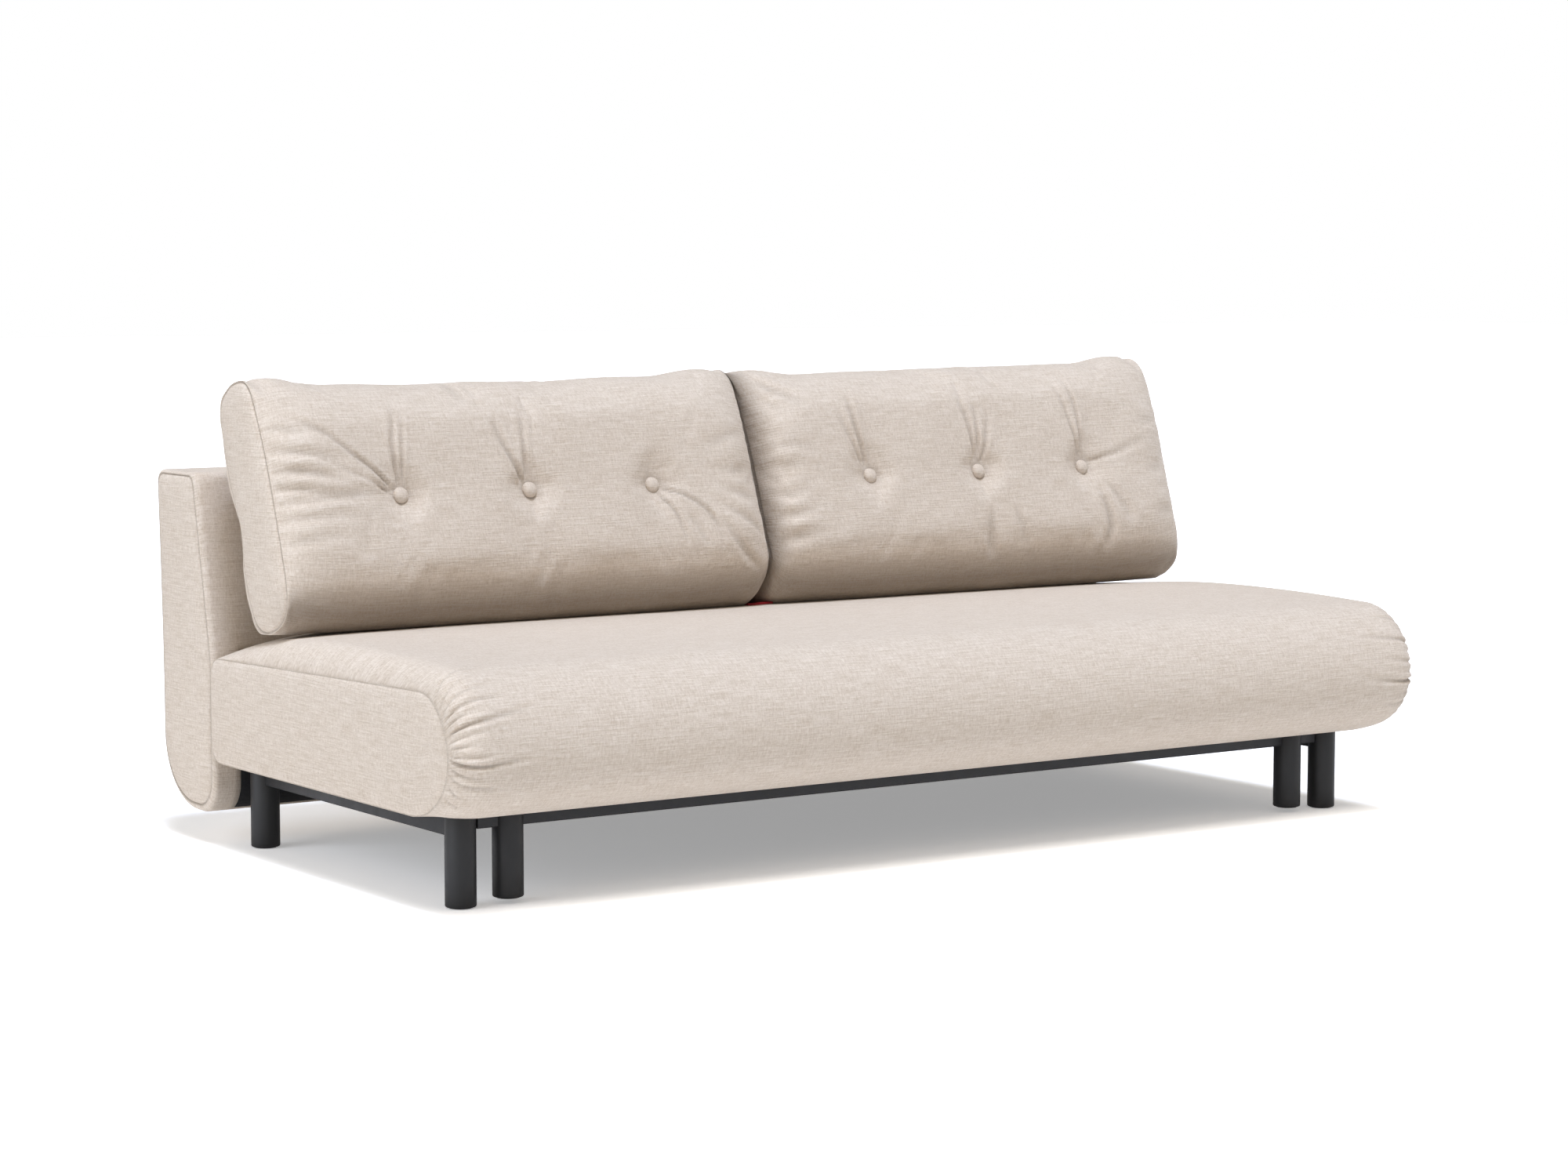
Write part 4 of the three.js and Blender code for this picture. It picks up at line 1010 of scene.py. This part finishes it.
# %% Folds of the left and right cushion
FOLDS = {
    "left": [
        ([(-253, 22), (-260, 87), (-243, 165)], 6, 4.0), ([(-247, 24), (-243, 87), (-231, 160)], 5, 3.2),
        ([(-266, 18), (-330, 73), (-382, 116), (-450, 160)], 6, 4.0), ([(-272, 12), (-340, 44), (-400, 70)], 6, 2.2),
        ([(-14, 20), (-45, 86), (-60, 135)], 7, 4.4), ([(-6, 24), (-5, 85), (2, 148)], 6, 3.4),
        ([(264, 0), (310, -20), (352, -56), (380, -130)], 5, 3.6), ([(258, -12), (284, -52), (296, -108)], 5, 3.6),
        ([(300, -44), (322, -78), (338, -120)], 6, 2.2),
        ([(478, -160), (424, -128), (372, -70), (340, -52)], 7, 3.2), ([(476, -96), (420, -60), (380, -38), (350, -30)], 7, 2.8),
        ([(476, -30), (420, -18), (362, -2)], 8, 2.4), ([(472, 32), (420, 22), (372, 26)], 8, 2.2),
        ([(472, 96), (420, 86), (352, 66)], 9, 2.0), ([(-482, 98), (-420, 82), (-340, 60)], 7, 3.2),
        ([(-484, 62), (-420, 50), (-345, 30)], 7, 4.2), ([(-484, 32), (-400, 16), (-330, 8)], 6, 4.0),
        ([(-484, 4), (-380, 2), (-285, 12)], 7, 3.4), ([(-482, -24), (-400, -28), (-330, -22)], 7, 2.8),
        ([(-482, -66), (-430, -64), (-370, -56)], 8, 2.4), ([(-480, 140), (-430, 126), (-370, 120)], 8, 2.6), ([(-240, -200), (-230, -160), (-215, -120)], 10, 2.4),
        ([(20, -200), (30, -160), (28, -120)], 10, 2.4), ([(-100, 226), (-104, 190), (-98, 160)], 9, 2.0),
    ],
    "right": [
        ([(-258, 22), (-274, 93), (-280, 160)], 6, 4.8), ([(-264, 20), (-292, 80), (-312, 130)], 7, 3.0),
        ([(-480, 62), (-420, 66), (-360, 60)], 8, 2.2), ([(0, 24), (6, 107), (8, 130)], 5, 3.4),
        ([(-7, 20), (-16, 102), (-30, 146)], 6, 4.4), ([(8, 20), (29, 84), (36, 112)], 6, 3.4),
        ([(4, -60), (-2, -120), (2, -180)], 9, 3.4), ([(56, -64), (68, -100), (82, -150)], 8, 2.4),
        ([(250, 22), (250, 107), (240, 176)], 5, 4.0), ([(244, 22), (226, 100), (210, 170)], 5, 3.4), ([(268, 14), (330, 26), (372, 40), (430, 60)], 8, 2.2),
        ([(270, -18), (286, -120), (244, -200)], 8, 4.0), ([(280, -14), (318, -64), (344, -118)], 8, 2.6), ([(-462, 214), (-430, 182), (-370, 142)], 9, 3.6),
        ([(-476, 176), (-436, 146), (-390, 124)], 9, 2.4), ([(-478, -18), (-440, -24), (-400, -18)], 8, 2.8),
        ([(-480, -64), (-440, -62), (-384, -54)], 8, 3.2), ([(-480, -112), (-436, -102), (-372, -88)], 9, 3.2),
        ([(-478, 36), (-440, 30), (-396, 32)], 9, 2.0), ([(-478, 92), (-440, 86), (-398, 80)], 9, 1.8),
        ([(466, 96), (420, 88), (380, 84)], 9, 1.8), ([(468, 4), (430, -4), (392, -8)], 9, 2.0),
        ([(468, -84), (430, -86), (392, -88)], 9, 1.8), ([(230, -200), (226, -168), (228, -130)], 10, 2.6),
    ],
}


def fold_push(across, up, line, width, depth):
    """How far a fold moves the cover, from its line, which starts deep and fades."""
    knots = np.array(line, float) * MM
    smooth = []
    for i in range(len(knots) - 1):
        p0, p1, p2, p3 = knots[max(i - 1, 0)], knots[i], knots[i + 1], knots[min(i + 2, len(knots) - 1)]
        for t in np.linspace(0, 1, 9)[:-1]:
            smooth.append(0.5 * (2 * p1 + (p2 - p0) * t + (2 * p0 - 5 * p1 + 4 * p2 - p3) * t**2
                                 + (3 * p1 - p0 - 3 * p2 + p3) * t**3))
    smooth.append(knots[-1])
    smooth = np.array(smooth)
    steps = np.linalg.norm(np.diff(smooth, axis=0), axis=1)
    run = np.concatenate([[0], np.cumsum(steps)]) / steps.sum()
    best = np.full(len(across), 1e9)
    share = np.zeros(len(across))
    here = np.column_stack([across, up])
    for i in range(len(smooth) - 1):
        a, d = smooth[i], smooth[i + 1] - smooth[i]
        t = np.clip((here - a) @ d / (d @ d), 0, 1)
        gap = np.linalg.norm(here - a - t[:, None] * d, axis=1)
        closer = gap < best
        best[closer] = gap[closer]
        share[closer] = run[i] + t[closer] * (run[i + 1] - run[i])
    soft = min(math.hypot(line[0][0] - k * 251, line[0][1] - 8) for k in (-1, 0, 1)) > 32
    strength = np.clip(share / 0.35, 0, 1) if soft else np.clip(share / 0.08, 0.35, 1)
    strength = strength * np.clip(1 - share, 0, 1) ** 0.6
    widened = width * MM * ((1.0 if soft else 0.5) + 0.75 * share)
    return 1.55 * depth * MM * strength * crease(best, widened)


def seat_height(y):
    """The seat's top under the cushions, over the front legs' axis."""
    share = np.clip((y + 0.0528) / (SEAT_REAR - 0.040 + 0.0528), 0, 1)
    return between(0.386, 0.374, share) + SEAT_CROWN * 4 * share * (1 - share)


def rest(points):
    """Flattens the cushion where it lies on the seat and where it leans on the backrest."""
    depth = points[:, 1] - DEPTH_SHIFT
    points[:, 2] = np.maximum(points[:, 2], seat_height(depth) + 0.0006)
    lean = (BACK_TOP_FRONT - BACK_FRONT) / (BACK_TOP - BACK_BREAK)
    limit = BACK_FRONT + np.clip(points[:, 2] - BACK_BREAK, 0, BACK_TOP - BACK_BREAK) * lean - 0.0008
    points[:, 1] = np.minimum(depth, limit) + DEPTH_SHIFT


BED_TURN = 1.910755
BED_SHIFT = (-0.1231255, 0.5138141)
BED_SLIDE = 0.49
BED_GIVE = 0.0055


def leave_room(points):
    """Flattens the crown a little where the cushion lies face down on the seat when it is a bed."""
    y, z = points[:, 1], points[:, 2]
    lying_y = y * math.cos(BED_TURN) - z * math.sin(BED_TURN) + BED_SHIFT[0]
    lying_z = y * math.sin(BED_TURN) + z * math.cos(BED_TURN) + BED_SHIFT[1]
    gap = lying_z - seat_height(lying_y + BED_SLIDE - DEPTH_SHIFT) - 0.0014
    eased = np.where(gap < BED_GIVE, BED_GIVE * np.exp(np.minimum(gap - BED_GIVE, 0) / BED_GIVE), gap)
    points[:, 1] += (eased - gap) * math.sin(BED_TURN)
    points[:, 2] += (eased - gap) * math.cos(BED_TURN)


for side, word in ((-1, "left"), (1, "right")):
    name = "tufted_cushion_" + word
    piece = copy_to(cushion, name, Vector((0, 0, 0)))
    mesh = piece.data
    if side > 0:
        mesh.transform(Matrix.Scale(-1, 4, (1, 0, 0)))
        mesh.flip_normals()
    points = places(mesh)
    normals = outward(mesh)
    across, up, forward = cushion_frame(points)
    along = -side * across
    from_seam = np.minimum(along - OUTER_END, INNER_END - along)
    upper = np.clip((up + 0.06) / 0.26, 0, 1)
    if side > 0:
        points[:, 2] += upper * (0.011 * np.clip((across + 0.30) / 0.65, 0, 1) + 0.006 * (1 - (across / 0.48) ** 2))
        points[:, 0] += 0.010 * np.clip((up + 0.10) / 0.26, 0, 1) * np.clip((across - 0.25) / 0.2, 0, 1)
    else:
        points[:, 2] += upper * (0.0030 + 0.0025 * np.clip((across - 0.05) / 0.3, 0, 1))
    corner = 1 - np.sqrt(1 - np.clip(1 - (INNER_END - along) / 0.034, 0, 1) ** 2)
    low_front = np.clip((-up - 0.11) / 0.06, 0, 1) * np.clip((forward + 0.06) / 0.06, 0, 1)
    points[:, 2] += 0.032 * corner * low_front
    leave_room(points)

    push = np.zeros(len(points))
    for line, width, depth in FOLDS[word]:
        push += fold_push(across, up, line, width, depth)
    front = np.clip((forward - 0.01) / 0.04, 0, 1) * np.clip((from_seam - 0.0005) / 0.006, 0, 1)
    ripple = np.sin(across * 23 + side) * np.sin(up * 31 + 2 * side) * 0.0016 * np.clip(from_seam / 0.08, 0, 1)
    points += normals * (push * front + ripple)[:, None]

    # Painted shade: the colour is darker towards where the cushion rests on the seat, at the inner end where it meets
    # the other cushion, in the folds and round the buttons.
    above_seat = points[:, 2] - seat_height(points[:, 1] - DEPTH_SHIFT)
    shaded = np.clip((forward + 0.01) / 0.07, 0, 1) * np.clip(from_seam / 0.006 + 0.3, 0.3, 1)
    painted_contact_shade = np.clip(1 - above_seat / 0.088, 0, 1) ** 0.85 * shaded
    reach = 0.010 if side < 0 else 0.045
    painted_gap_shade = 0.8 * np.clip(1 - (INNER_END - along) / reach, 0, 1) ** 1.5
    painted_fold_shade = np.clip(-push * front / 0.016, 0, 0.3)
    near_button = np.min([np.hypot(across - k * BUTTON_SPACING, up - BUTTON_HEIGHT) for k in (-1, 0, 1)], axis=0)
    painted_button_shade = 0.5 * np.exp(-((near_button / 0.016) ** 2))
    deepen_shade(mesh, np.max([painted_contact_shade, painted_gap_shade, painted_fold_shade, painted_button_shade], axis=0))
    rest(points)
    points[:, 0] += side * 0.489
    points[:, 0] = np.maximum(points[:, 0] * side, 0.0008) * side
    put_places(mesh, points)
    finish_soft(piece, name, 0.6, "cushion_" + word, "back_cushion_" + word)
bpy.data.objects.remove(cushion)

# %% [markdown]
# ## Pull strap
#
# The seat is drawn out by a strap of red webbing that is sewn to it where the two cushions meet, and
# its tip peeps out from under their corners. It is a flat grid that follows the seat's top and turns
# over in a short hem at its tip, and Solidify gives it the webbing's thickness.

# %% Pull strap
strap_low, strap_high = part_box("pull_strap")
STRAP_TIP = 0.116
STRAP_THICKNESS = 0.0016
HEM = 0.014

bpy.ops.object.select_all(action="DESELECT")
bpy.ops.mesh.primitive_grid_add(x_subdivisions=14, y_subdivisions=70, size=2)
strap = bpy.context.object
points = places(strap.data)
run = (points[:, 1] + 1) / 2 * (strap_high.y - STRAP_TIP + HEM) - HEM
turn = np.clip((run + 0.003) / 0.003, 0, 1) * np.pi
rise = np.where(run < 0, 0.0012 * (1 + np.cos(turn)), 0)
width = points[:, 0] * (strap_high.x - strap_low.x) / 2 * (1 - 0.05 * np.exp(-np.abs(run) / 0.02))
place_y = STRAP_TIP + np.abs(run)
wave = 0.0007 * np.sin(points[:, 0] * 2.2) * np.exp(-np.abs(run) / 0.03)
points = np.column_stack([width, place_y, seat_height(place_y - DEPTH_SHIFT) + 0.0008 + rise + wave])
put_places(strap.data, points)
apply_modifier(strap, "thickness", "SOLIDIFY", thickness=STRAP_THICKNESS, offset=0.0)
apply_modifier(strap, "edge", "BEVEL", width=0.0004, segments=2, limit_method="ANGLE")
finish_piece(strap, "webbing_pull_strap", "webbing", 50)
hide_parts("pull_strap")
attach(strap, "seat")
print("strap:", len(strap.data.polygons), "faces")

# %% [markdown]
# ## Covered buttons
#
# A button is a tin dome, 28 mm across, with cloth pulled over it and pleated under its rim. It
# starts as a sphere that is flattened, its lower half is drawn in, and a ring of small pleats runs
# round the edge. One is modelled upright at the origin and copied, leaning with the cushion's face.

# %% Covered buttons
BUTTON_RADIUS = 0.0141
BUTTON_PLEATS = 14

bpy.ops.object.select_all(action="DESELECT")
bpy.ops.mesh.primitive_uv_sphere_add(segments=56, ring_count=28, radius=BUTTON_RADIUS)
button = bpy.context.object
bpy.ops.object.mode_set(mode="EDIT")
bpy.ops.mesh.select_all(action="SELECT")
bpy.ops.transform.resize(value=(1, 1, 0.62))
choose(button, "VERT", lambda v: v.co.z < -0.002)
bpy.ops.transform.resize(value=(0.86, 0.86, 1), center_override=(0, 0, 0))
bpy.ops.object.mode_set(mode="OBJECT")
points = places(button.data)
turn = np.arctan2(points[:, 1], points[:, 0])
edge = np.exp(-(((points[:, 2] + 0.0022) / 0.0024) ** 2))
points[:, :2] *= (1 + 0.022 * edge * np.cos(turn * BUTTON_PLEATS))[:, None]
put_places(button.data, points)
# Painted shade: the cloth is darker round the button's lower rim, where it sits in the cushion.
shade = button.data.attributes.new("seam", "FLOAT", "POINT")
shade.data.foreach_set("value", 0.7 * np.clip((0.003 - points[:, 2]) / 0.008, 0, 1))
layer = button.data.uv_layers.active.data
for loop in button.data.loops:
    place = button.data.vertices[loop.vertex_index].co
    layer[loop.index].uv = (place.x, place.y + place.z * 0.6)
button.rotation_euler = (math.pi / 2 - CUSHION_LEAN, 0, 0)
finish_piece(button, "covered_button", "fabric", 60)

for word in ("left", "right"):
    for number in (1, 2, 3):
        node_name = f"button_{word}_{number}"
        low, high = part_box(node_name)
        twin = copy_to(button, f"covered_button_{word}_{number}", (low + high) / 2 + Vector((0, *FORWARD)) * 0.0035)
        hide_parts(node_name)
        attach(twin, "cushion_" + word)
bpy.data.objects.remove(button)
